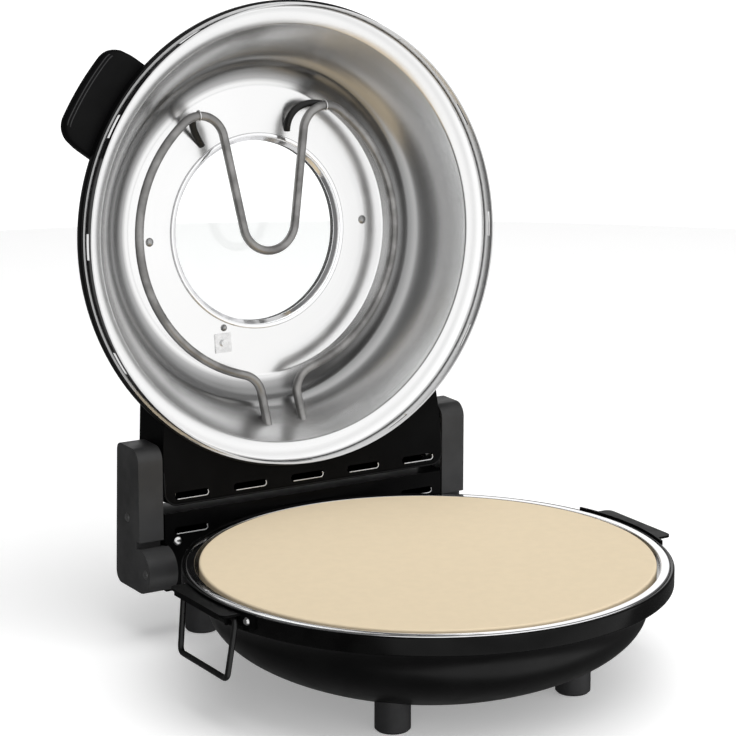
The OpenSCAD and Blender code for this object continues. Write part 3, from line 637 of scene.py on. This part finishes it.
class PIZZA_PG_finish(bpy.types.PropertyGroup):
    enamel_colour: FloatVectorProperty(
        name="Enamel", default=(0.0022, 0.0022, 0.0023), size=3, subtype="COLOR",
        description="Colour of the bowl and the dome",
    )
    paint_colour: FloatVectorProperty(
        name="Paint", default=(0.0022, 0.0022, 0.0023), size=3, subtype="COLOR",
        description="Colour of the painted housings",
    )
    plastic_colour: FloatVectorProperty(
        name="Plastic", default=(0.03, 0.03, 0.0305), size=3, subtype="COLOR",
        description="Colour of the moulded pieces",
    )
    reflector_colour: FloatVectorProperty(
        name="Reflector", default=(0.84, 0.84, 0.84), size=3, subtype="COLOR",
        description="Colour of the lid's bright inside",
    )
    stone_colour: FloatVectorProperty(
        name="Stone", default=(0.76, 0.635, 0.45), size=3, subtype="COLOR",
        description="Colour of the baking stone",
    )


# Operators


class PIZZA_OT_stage(bpy.types.Operator):
    """Makes the pale floor, the soft lights and the camera"""

    bl_idname = "pizza.stage"
    bl_label = "Stage"

    def execute(self, context):
        backdrop()
        lights()
        camera()
        return {"FINISHED"}


def backdrop():
    """A round pale floor: rings of points (r cos a, r sin a, 0) about the part, closed at the middle."""
    a = np.linspace(0, 2 * np.pi, FLOOR_TURNS, endpoint=False)
    r = np.concatenate([[0.02], np.linspace(0.2, FLOOR_R, 16)])[:, None]
    grid = np.stack([r * np.cos(a), r * np.sin(a), 0 * r * a], -1)
    faces = grid_faces(len(r), FLOOR_TURNS, False, True)[:, ::-1].tolist()
    faces.append(list(range(FLOOR_TURNS)))
    mesh = bpy.data.meshes.new("studio_floor")
    mesh.from_pydata(grid.reshape(-1, 3).tolist(), [], faces)
    sheet = bpy.data.objects.new("studio_floor", mesh)
    bpy.context.scene.collection.objects.link(sheet)
    glow = {"Emission_Color": (1, 1, 1, 1), "Emission_Strength": FLOOR_GLOW}
    paper = base_finish("floor_paper", (0.93, 0.93, 0.93), 0.9, **glow)
    grain(paper, place(paper), 300, 0.0002, 0.1)
    mesh.materials.append(paper)
    sheet.visible_glossy = False


def soft_light(name, place_at, aim, size, power):
    """A rectangular lamp that looks from one point at another."""
    light = bpy.data.lights.new(name, "AREA")
    light.shape = "RECTANGLE"
    light.size, light.size_y = size
    light.energy = power
    lamp = bpy.data.objects.new(name, light)
    bpy.context.scene.collection.objects.link(lamp)
    turn = (Vector(place_at) - Vector(aim)).to_track_quat("Z", "Y")
    lamp.matrix_world = Matrix.Translation(place_at) @ turn.to_matrix().to_4x4()
    return lamp


def sky_light():
    """A sky that is bright towards a wide panel in front and a smaller one behind, dim elsewhere, and
    white where it is seen: the larger of two ramps of the direction's cosine to each panel."""
    world = bpy.data.worlds.new("studio")
    bpy.context.scene.world = world
    world.use_nodes = True
    nodes, link = world.node_tree.nodes, world.node_tree.links.new
    sky = nodes["Background"]
    sky.inputs["Strength"].default_value = SKY_STRENGTH
    coords = nodes.new("ShaderNodeTexCoord")
    brighter = nodes.new("ShaderNodeMath")
    brighter.operation = "MAXIMUM"
    for socket, (side, steps) in enumerate(((PANEL_SIDE, PANEL_STEPS), (REAR_SIDE, REAR_STEPS))):
        facing = nodes.new("ShaderNodeVectorMath")
        facing.operation = "DOT_PRODUCT"
        facing.inputs[1].default_value = side
        link(coords.outputs["Generated"], facing.inputs[0])
        ramp = nodes.new("ShaderNodeValToRGB")
        ramp.color_ramp.interpolation = "EASE"
        grey_steps(ramp.color_ramp, steps)
        link(facing.outputs["Value"], ramp.inputs["Fac"])
        link(ramp.outputs["Color"], brighter.inputs[socket])
    seen = nodes.new("ShaderNodeLightPath")
    straight = nodes.new("ShaderNodeMath")
    straight.operation = "MAXIMUM"
    link(seen.outputs["Is Camera Ray"], straight.inputs[0])
    link(seen.outputs["Is Transmission Ray"], straight.inputs[1])
    either = nodes.new("ShaderNodeMix")
    either.data_type = "RGBA"
    either.inputs[MIX_B].default_value = (1, 1, 1, 1)
    link(straight.outputs["Value"], either.inputs[MIX_FACTOR])
    link(brighter.outputs["Value"], either.inputs[MIX_A])
    link(either.outputs[MIX_RESULT], sky.inputs["Color"])


def lights():
    """The sky and one lamp overhead, which the steel doesn't mirror."""
    sky_light()
    overhead = soft_light("overhead", (0.1, -0.3, 2.2), (0, 0, 0), (2.6, 2.6), OVERHEAD_WATTS)
    overhead.visible_glossy = False
    bpy.context.scene.view_settings.view_transform = "Standard"


def camera():
    """Looks from the photograph's place, with the axes right, up and back worked out from its two
    angles."""
    a, e = math.radians(VIEW_LEFT), math.radians(VIEW_UP)
    back = np.array([-math.sin(a) * math.cos(e), -math.cos(a) * math.cos(e), math.sin(e)])
    right = np.array([math.cos(a), -math.sin(a), 0.0])
    up = np.cross(back, right)
    centre = np.array([0, AXIS_Y, 0]) + right * EYE_RIGHT + up * EYE_UP + back * EYE_AWAY
    eye = bpy.data.cameras.new("camera")
    eye.sensor_width = SENSOR
    eye.lens = LENS
    eye.clip_end = 50
    seat = bpy.data.objects.new("camera", eye)
    bpy.context.scene.collection.objects.link(seat)
    seat.matrix_world = Matrix((*[(right[i], up[i], back[i], centre[i]) for i in range(3)], (0, 0, 0, 1)))
    bpy.context.scene.camera = seat


class PIZZA_OT_base(bpy.types.Operator):
    """Makes the pressed bowl, its rim band and trim ring, and the baking stone"""

    bl_idname = "pizza.base"
    bl_label = "Bowl and Stone"

    def execute(self, context):
        size = context.scene.pizza_base
        base_bowl(size)
        rim_pieces(size)
        stone(size)
        return {"FINISHED"}


def bowl_section(size, w):
    """Half outline of the bowl, w inside its outer face: a curve (1-t)^2 a + 2t(1-t) b + t^2 c from
    the floor to the belly, and one from the belly to the lip."""
    floor, belly = size.floor_height, RIM_R - size.belly_step
    foot = (size.floor_radius, floor + w)
    middle = (belly - w, RIM_TOP - 29.7 * MM)
    lip = (RIM_R - 4.5 * MM - w, RIM_TOP - 11.6 * MM + w)
    lower = pulled(foot, (belly - 4 * MM - w, floor + 17 * MM + w / 2), middle, 40)
    upper = pulled(middle, (belly + 1.5 * MM - w, middle[1] + 12 * MM), lip, 20)
    return np.concatenate([lower, upper[1:]])


def base_bowl(size):
    """The bowl's outline and the same a wall further in, joined by a flat lip and a flat floor, and
    spun."""
    wall = 1.4 * MM
    outer, inner = bowl_section(size, 0), bowl_section(size, wall)
    edge_r, edge_z = RIM_R - 1.6 * MM, outer[-1, 1]
    middle_r, floor = size.floor_radius * 0.5, size.floor_height
    section = np.concatenate([
        [(0, floor), (middle_r, floor)], outer, [(edge_r, edge_z), (edge_r, edge_z + wall)],
        inner[::-1], [(middle_r, floor + wall), (0, floor + wall)],
    ])
    points, faces = lathe(section, size.turns)
    make_piece("pressed_bowl", points, faces, BOWL, "base", "black_enamel", "base_bowl")


def rim_pieces(size):
    """The band is a thin wall with a rolled upper lip, and the ring a sheet with a rolled outer edge inside
    that lip: half and three-quarter circles of the section, spun."""
    low, foot_r, wall = BAND_LOW[2], RIM_R - 4 * MM, 1.5 * MM
    corner, lip = 1.4 * MM, 1.45 * MM
    band = np.concatenate([
        [(foot_r, low + wall), (foot_r, low)],
        round_corner((RIM_R - corner, low + corner), corner, -90, 0, 9),
        round_corner((RIM_R - lip, RIM_TOP - 0.4 * MM - lip), lip, 0, 180, 15),
        [(RIM_R - 2 * lip + 0.2 * MM, RIM_TOP - 3.2 * MM), (RIM_R - wall, low + wall)],
    ])
    points, faces = lathe(band, size.turns)
    make_piece("band", points, faces, BOWL, "base", "black_band", "rim_band")
    edge, roll = 0.5 * MM, 1.25 * MM
    inner, outer = STONE_R + 3 * MM, RIM_R - 2.9 * MM
    ring = np.concatenate([
        round_corner((inner + edge, RIM_TOP - edge), edge, 270, 90, 9),
        round_corner((outer - roll, RIM_TOP - roll), roll, 90, -180, 22),
        [(outer - 2 * roll, RIM_TOP - 2 * edge)],
    ])
    points, faces = lathe(ring, size.turns)
    make_piece("bright_ring", points, faces, BOWL, "base", "chromed", "trim_ring")


def stone(size):
    """A disc whose lower and upper edges are quarter circles, spun."""
    low, high, foot, edge = STONE_LOW[2], STONE_HIGH[2], 0.8 * MM, size.stone_edge
    section = np.concatenate([
        [(0, low), (STONE_R * 0.5, low)],
        round_corner((STONE_R - foot, low + foot), foot, -90, 0, 5),
        round_corner((STONE_R - edge, high - edge), edge, 0, 90, 10),
        [(STONE_R * 0.97, high), (STONE_R * 0.5, high), (0, high)],
    ])
    points, faces = lathe(section, size.turns)
    make_piece("stone_disc", points, faces, BOWL, "stone", "stone_clay", "baking_stone")


class PIZZA_OT_lid(bpy.types.Operator):
    """Makes the dome, the bright reflector and the window's ring"""

    bl_idname = "pizza.lid"
    bl_label = "Lid Shells"

    def execute(self, context):
        size = context.scene.pizza_lid
        turns = context.scene.pizza_base.turns
        dome(size, turns)
        reflector(size, turns)
        window_ring(size, turns)
        return {"FINISHED"}


def dome_line(size, w):
    """Outline of the dome, w inside its outer face: a straight up from the edge, and a curve
    (1-t)^2 a + 2t(1-t) b + t^2 c to the crown."""
    start, crown = (RIM_R - w, 5 * MM), (75 * MM, size.depth - w)
    shoulder = (RIM_R - 17 * MM - w, size.depth - 5 * MM - w)
    return np.concatenate([[(RIM_R - w, 0.4 * MM)], pulled(start, shoulder, crown, 48)])


def dome(size, turns):
    """The dome's outline and the same a wall further in, with a rounded edge at the window, spun."""
    wall, hole, edge = 1.5 * MM, 65.9 * MM, 0.5 * MM
    section = np.concatenate([
        [(RIM_R - 0.4 * MM, 0)], dome_line(size, 0),
        round_corner((hole + edge, size.depth - edge), edge, 90, 180, 5),
        [(hole, size.depth - wall)], dome_line(size, wall)[::-1], [(RIM_R - wall, 0)],
    ])
    points, faces = lathe(section, turns)
    make_piece("domed_shell", points, faces, LID, "lid", "black_enamel", "lid_shell")


def reflector(size, turns):
    """The flange slopes in from the edge and the wall curves down to the flat face, each along a curve
    (1-t)^2 a + 2t(1-t) b + t^2 c, and a soft ring bead, shaped as a bell curve of the radius, runs
    round the wall. The line and the same a wall behind it are spun."""
    wall, lip = 1 * MM, 1.2 * MM
    edge, inner, flat_r, hole = 163.2 * MM, 149.7 * MM, 106 * MM, 70.2 * MM
    brow = 5.1 * MM
    bead, bead_width = 0.9 * MM, 3.2 * MM

    def line(w):
        """The bright face's line, or the same w behind it."""
        depth = size.face_depth + w
        rim = round_corner((edge - lip, lip + w), lip, 0, -90, 7)
        flange = pulled((edge - lip, w), (156 * MM, 0.6 * MM + w), (inner + w / 2, brow + w), 16)
        bowl = pulled((inner, brow + w), (inner - 15 * MM, depth - 7 * MM), (flat_r, depth), 90)
        flat = np.stack([np.linspace(flat_r - 1 * MM, hole, 24), np.full(24, depth)], 1)
        whole = np.concatenate([rim, flange[1:], bowl[1:], flat])
        whole[:, 1] -= bead * np.exp(-(((whole[:, 0] - size.bead_radius) / bead_width) ** 2))
        return whole

    section = np.concatenate([line(0), line(wall)[::-1]])
    points, faces = lathe(section, turns)
    make_piece("spun_reflector", points, faces, LID, "lid", "reflector_steel", "lid_reflector")


def window_ring(size, turns):
    """A rolled flange on the reflector with a groove between two bright beads, and the tube that
    holds the glass: arcs and straights of the section, spun."""
    face, top = size.face_depth - 0.9 * MM, size.depth - 1.52 * MM
    lip, bore, outer = 66 * MM, 68.6 * MM, 70 * MM
    shelf, glass = 56.2 * MM, 57.68 * MM
    bead, roll = 0.85 * MM, 0.6 * MM
    section = np.concatenate([
        round_corner((outer + 0.8 * MM, face), bead, 60, -90, 8),
        round_corner((bore + roll, face), roll, -90, -180, 6),
        [(bore, shelf), (lip, shelf), (lip, glass), (bore, glass)],
        [(bore, top), (outer, top), (outer, face + bead)],
    ])
    points, faces = lathe(section, turns)
    make_piece("window_bead", points, faces, LID, "lid", "chromed", "window_ring")


class PIZZA_OT_wires(bpy.types.Operator):
    """Makes the bent heating tube and the two wire bails"""

    bl_idname = "pizza.wires"
    bl_label = "Tube and Bails"

    def execute(self, context):
        heating_tube(context.scene.pizza_lid)
        hump_brackets(context.scene.pizza_lid)
        bails()
        return {"FINISHED"}


def hump_centre(size):
    """Centre of the heating tube's right hump, on a circle inside the loop."""
    away = size.loop_radius - size.hump_radius
    return np.array([away * math.cos(size.hump_angle), away * math.sin(size.hump_angle)])


def heating_tube(size):
    """One unbroken tube: sloping end, bend, loop, hump, straight leg, dip, and the same back, with
    every bend an arc that touches the next. Twice, each point goes to (before + 2 itself + after) / 4."""
    lead_x, lead_bend, lead_end, drop = 14.6 * MM, 18 * MM, 170 * MM, 16 * MM
    dip, dip_y = 21.5 * MM, 8 * MM
    reach = size.loop_radius + lead_bend
    turn = -math.degrees(math.acos((lead_x + lead_bend) / reach))
    neck = (lead_x + lead_bend, -math.sqrt(reach**2 - (lead_x + lead_bend) ** 2))
    hump, hump_at = hump_centre(size), math.degrees(size.hump_angle)
    apart = hump - [0, dip_y]
    slant = math.asin((size.hump_radius + dip) / np.hypot(*apart))
    leg = math.degrees(math.atan2(apart[1], apart[0]) + slant)
    half = np.concatenate([
        bend(neck, lead_bend, 180, 180 + turn),
        bend((0, 0), size.loop_radius, turn, hump_at)[1:],
        bend(hump, size.hump_radius, hump_at, leg + 90)[1:],
        bend((0, dip_y), dip, leg - 90, -90)[:-1],
    ])
    flat = np.concatenate([half, [(0, dip_y - dip)], (half * [-1, 1])[::-1]])
    whole = np.concatenate([flat * [1, -1], np.full((len(flat), 1), TUBE_DEPTH)], 1)
    t = np.linspace(1, 0, 14)[:-1, None]
    lead_y = -neck[1] + (lead_end + neck[1]) * t
    tail = np.concatenate([0 * t + lead_x, lead_y, TUBE_DEPTH - drop * t], 1)
    path = np.concatenate([tail, whole, (tail * [-1, 1, 1])[::-1]])
    for _ in range(2):
        path[1:-1] = (path[:-2] + 2 * path[1:-1] + path[2:]) / 4
    points, faces = tube(path, TUBE_R, 24)
    make_piece("bent_heating_tube", points, faces, LID, "lid", "tube_steel", "upper_element")


def hump_brackets(size):
    """A flat strap bent from behind each hump to the reflector, along a curve (1-t)^3 a + 3t(1-t)^2 b
    + 3t^2(1-t) c + t^3 d, and a thin clip round the tube: most of a circle square to the hump."""
    hump_x, hump_y = hump_centre(size) * [1, -1] - [0, size.hump_radius]
    wire = 0.55 * MM
    around = TUBE_R + wire
    a = np.radians(np.linspace(-160, 160, 30))
    t = np.linspace(0, 1, 28)[:, None]
    straps, clips = [], []
    # The side, and the points b, c and d in millimetres
    for sign, *pulls in (
        (1, (40, -92.5, 40), (27, -89, 46), (28.5, -71, 52.4)),
        (-1, (-57, -84, 41), (-50, -76, 48), (-42, -65, 52.4)),
    ):
        top = np.array([sign * hump_x, hump_y - 1 * MM, 39.6 * MM])
        near, far, foot = np.array(pulls) * MM
        path = (1 - t) ** 3 * top + 3 * t * (1 - t) ** 2 * near + 3 * t**2 * (1 - t) * far + t**3 * foot
        straps.append(tube(path, 2.6 * MM, 16, 0.42, (0, 0, 1)))
        x, y, z = 0 * a + sign * hump_x, hump_y - around * np.cos(a), TUBE_DEPTH + around * np.sin(a)
        clips.append(tube(np.stack([x, y, z], 1), wire, 10))
    make_piece("hump_straps", *together(straps), LID, "lid", "wire_black", "element_brackets")
    make_piece("hump_clips", *together(clips), LID, "lid", "zinc_steel")


def together(parts):
    """Joins the points and faces of several shells into one piece's."""
    points, faces, at = [], [], 0
    for p, f in parts:
        points.append(p)
        faces += [[at + i for i in face] for face in f]
        at += len(p)
    return np.concatenate(points), faces


def lid_trim():
    """A rolled hem round the foot of the housing's plate, a tube along two quarter circles and the
    straights beside and between them, and by the window a low screw head: an arc, spun."""
    half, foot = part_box("lid_housing_cover")[1][0] - 0.2 * MM, 181.6 * MM
    corner, upright, proud = 9 * MM, 24 * MM, 0.5 * MM
    right = bend((half - corner, foot - corner), corner, 0, 90, 9)
    top = [(half, foot - upright)]
    path = np.concatenate([top, right, (right * [-1, 1])[::-1], np.array(top) * [-1, 1]])
    path = np.stack([path[:, 0], path[:, 1], np.full(len(path), proud)], 1)
    make_piece("plate_hem", *tube(path, 0.75 * MM, 12), LID, "lid", "black_band")
    face, edge, crown = 52.95 * MM, 2.6 * MM, 2.3 * MM
    arc = round_corner((0, face), crown, -20, -80, 8)
    points, faces = lathe(np.concatenate([[(0, face), (edge, face)], arc, [(0, face - crown)]]), 24)
    make_piece("window_screw", points + [-33 * MM, 68 * MM, 0], faces, LID, "lid", "dark_screw")


def slot_lip_highlights():
    """A thin raised bead along the foot and one end of each vent slot, along a straight and part of a
    circle, in bright metal as a painted highlight where the lip catches the light."""
    half, start, end, pitch = 2.25 * MM, -11.5 * MM, 11 * MM, 47 * MM
    bead, proud = 0.45 * MM, 0.5 * MM
    lid_y, base_y, base_z = 175.6 * MM, 166 * MM, 79.5 * MM
    foot = np.stack([np.linspace(start, end - 1 * MM, 12), np.full(12, half)], 1)
    along, across = np.concatenate([foot, round_corner((end, 0), half, 90, -40, 12)]).T
    lid, base = [], []
    for i in range(-2, 3):
        x = along + i * pitch
        lid.append(tube(np.stack([x, lid_y + across, 0 * x + proud], 1), bead, 8))
        base.append(tube(np.stack([x, 0 * x + base_y, base_z - across], 1), bead, 8))
    # Painted highlight: bright beads along the slots' lips
    make_piece("lid_slot_lips", *together(lid), LID, "lid", "zinc_steel")
    make_piece("base_slot_lips", *together(base), BOWL, "base", "zinc_steel")


def bails():
    """A flat wire loop: in at the top of each leg, down, round and up again, tilted outwards. At each
    corner an arc touches both straights."""
    r, tilt = 2 * MM, math.radians(7)
    px, pz = RIM_R + 0.3 * MM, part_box("bail_right")[1][2] - r
    half, grip, length, inner, corner = 36 * MM, 32.5 * MM, 41 * MM, 26.3 * MM, 4.5 * MM
    corners = np.array([(inner, 0), (half, 0), (grip, -length), (-grip, -length), (-half, 0), (-inner, 0)])
    flat = [corners[:1]]
    for before, here, after in zip(corners, corners[1:], corners[2:]):
        a, b = before - here, after - here
        a, b = a / np.hypot(*a), b / np.hypot(*b)
        opening = math.acos(a @ b)
        middle = here + (a + b) / np.hypot(*(a + b)) * corner / math.sin(opening / 2)
        start = here + a * corner / math.tan(opening / 2) - middle
        end = here + b * corner / math.tan(opening / 2) - middle
        first = math.degrees(math.atan2(start[1], start[0]))
        swing = math.degrees(math.atan2(start[0] * end[1] - start[1] * end[0], start @ end))
        flat.append(bend(middle, corner, first, first + swing, 9))
    flat.append(corners[-1:])
    flat = np.concatenate(flat)
    for side, body in ((1, "bail_right"), (-1, "bail_left")):
        x = px - flat[:, 1] * math.sin(tilt)
        path = np.stack([side * x, flat[:, 0], pz + flat[:, 1] * math.cos(tilt)], 1)
        points, faces = tube(path, r, 20)
        make_piece("wire_" + body, points, faces, BOWL, body, "wire_black", body)


class PIZZA_OT_handle(bpy.types.Operator):
    """Makes the lid's moulded handle"""

    bl_idname = "pizza.handle"
    bl_label = "Lid Handle"

    def execute(self, context):
        lid_handle(context.scene.pizza_lid)
        return {"FINISHED"}


def lid_handle(size):
    """A rounded paddle: for each angle round the section and each station along the rim, the point is
    centre + half size times a superellipse of power 3.2, (cos a, sin a) each to the power 0.62 with
    its sign kept. The half sizes shrink towards both ends. Two ridges, tubes along the rim, lie on
    the lower face."""
    sides, stations, blunt = 56, 61, 0.62
    half_w, outer, inner, taper = 38 * MM, 192 * MM, 150 * MM, 14 * MM
    low, high = 8 * MM, 22 * MM
    straight, thin = 0.62, 0.62
    ridge, sunk, bare = 0.45 * MM, 0.15 * MM, 7
    a = np.linspace(0, 2 * np.pi, sides, endpoint=False)
    along = np.linspace(-1, 1, stations)
    end = np.clip((np.abs(along) - straight) / (1 - straight), 0, 1)
    shrink = np.sqrt(np.clip(1 - end**2.4, 0, 1))
    y = along * half_w
    out_r = np.sqrt((outer - taper + taper * shrink) ** 2 - 0.9 * y**2)
    mid_r, half_r = (out_r + inner) / 2, (out_r - inner) / 2
    middle, thick = (low + high) / 2, (high - low) / 2 * (thin + (1 - thin) * shrink)
    x = mid_r[:, None] + half_r[:, None] * np.sign(np.cos(a)) * np.abs(np.cos(a)) ** blunt
    z = middle + thick[:, None] * np.sign(np.sin(a)) * np.abs(np.sin(a)) ** blunt
    points = np.stack([x, y[:, None] + 0 * x, z], -1).reshape(-1, 3)
    turned = LID @ Matrix.Rotation(-size.handle_angle, 4, "Z")
    faces = capped_faces(stations, sides)
    paddle = make_piece("moulded_handle", points, faces, turned, "lid", "black_plastic", "lid_handle")
    paddle.data.materials[0] = finish("handle_plastic")
    ridges = []
    keep = slice(bare, -bare)
    for inset in (2.3 * MM, 4.3 * MM):
        x = out_r[keep] - inset
        level = np.clip((x - mid_r[keep]) / half_r[keep], 0, 1) ** (1 / blunt)
        face = middle - thick[keep] * np.sqrt(1 - level**2) ** blunt
        ridges.append(tube(np.stack([x, y[keep], face + sunk], 1), ridge, 10))
    make_piece("handle_ridges", *together(ridges), turned, "lid", "black_plastic")


class PIZZA_OT_housings(bpy.types.Operator):
    """Rounds the edges of the housings, towers, brackets and feet"""

    bl_idname = "pizza.housings"
    bl_label = "Housings"

    def execute(self, context):
        for node, slot, width in (
            ("tower_left", "black_plastic", 1.3 * MM),
            ("tower_right", "black_plastic", 1.3 * MM),
            ("hinge_housing", "black_paint", 0.5 * MM),
            ("hinge_housing_cover", "black_paint", 0.35 * MM),
            ("lid_housing", "black_paint", 0.6 * MM),
            ("lid_housing_cover", "black_paint", 0.5 * MM),
            ("bracket_left", "black_paint", 0.3 * MM),
            ("bracket_right", "black_paint", 0.3 * MM),
            ("front_feet", "dark_plastic", 0.6 * MM),
            ("rear_feet", "dark_plastic", 0.6 * MM),
            ("housing_saddle", "black_paint", 0.5 * MM),
            ("lid_skirt", "bright_steel", 0),
        ):
            merged_copy(node, slot, width)
        slot_lip_highlights()
        lid_trim()
        return {"FINISHED"}


class PIZZA_OT_finishes(bpy.types.Operator):
    """Gives each node of the frame that still shows its finish"""

    bl_idname = "pizza.finishes"
    bl_label = "Finishes"

    def execute(self, context):
        slots = {s["node"]: s["material_slot"] for s in frame["record"]["subparts"]}
        for name, node in frame["nodes"].items():
            node.data.materials.clear()
            node.data.materials.append(finish(slots[name]))
        return {"FINISHED"}


class PIZZA_PT_sidebar(bpy.types.Panel):
    """Sizes, colours and steps of the pizza maker"""

    bl_idname = "PIZZA_PT_sidebar"
    bl_label = "Pizza Maker"
    bl_space_type = "VIEW_3D"
    bl_region_type = "UI"
    bl_category = "Pizza Maker"

    def draw(self, context):
        for group in ("pizza_base", "pizza_lid", "pizza_finish"):
            values = getattr(context.scene, group)
            box = self.layout.box()
            for key in values.__annotations__:
                box.prop(values, key)
        for step in STEPS:
            self.layout.operator(step.bl_idname)


GROUPS = {"pizza_base": PIZZA_PG_base, "pizza_lid": PIZZA_PG_lid, "pizza_finish": PIZZA_PG_finish}
STEPS = (
    PIZZA_OT_stage, PIZZA_OT_base, PIZZA_OT_lid, PIZZA_OT_wires, PIZZA_OT_handle,
    PIZZA_OT_housings, PIZZA_OT_finishes,
)


def register():
    """Registers the classes and puts their values on the scene."""
    for cls in (*GROUPS.values(), *STEPS, PIZZA_PT_sidebar):
        bpy.utils.register_class(cls)
    for name, cls in GROUPS.items():
        setattr(bpy.types.Scene, name, PointerProperty(type=cls))


def unregister():
    """Takes the values and the classes away again."""
    for name in GROUPS:
        delattr(bpy.types.Scene, name)
    for cls in reversed((*GROUPS.values(), *STEPS, PIZZA_PT_sidebar)):
        bpy.utils.unregister_class(cls)


def main():
    """Runs every step."""
    register()
    bpy.ops.pizza.stage()
    bpy.ops.pizza.base()
    bpy.ops.pizza.lid()
    bpy.ops.pizza.wires()
    bpy.ops.pizza.handle()
    bpy.ops.pizza.housings()
    bpy.ops.pizza.finishes()


if __name__ == "__main__":
    main()
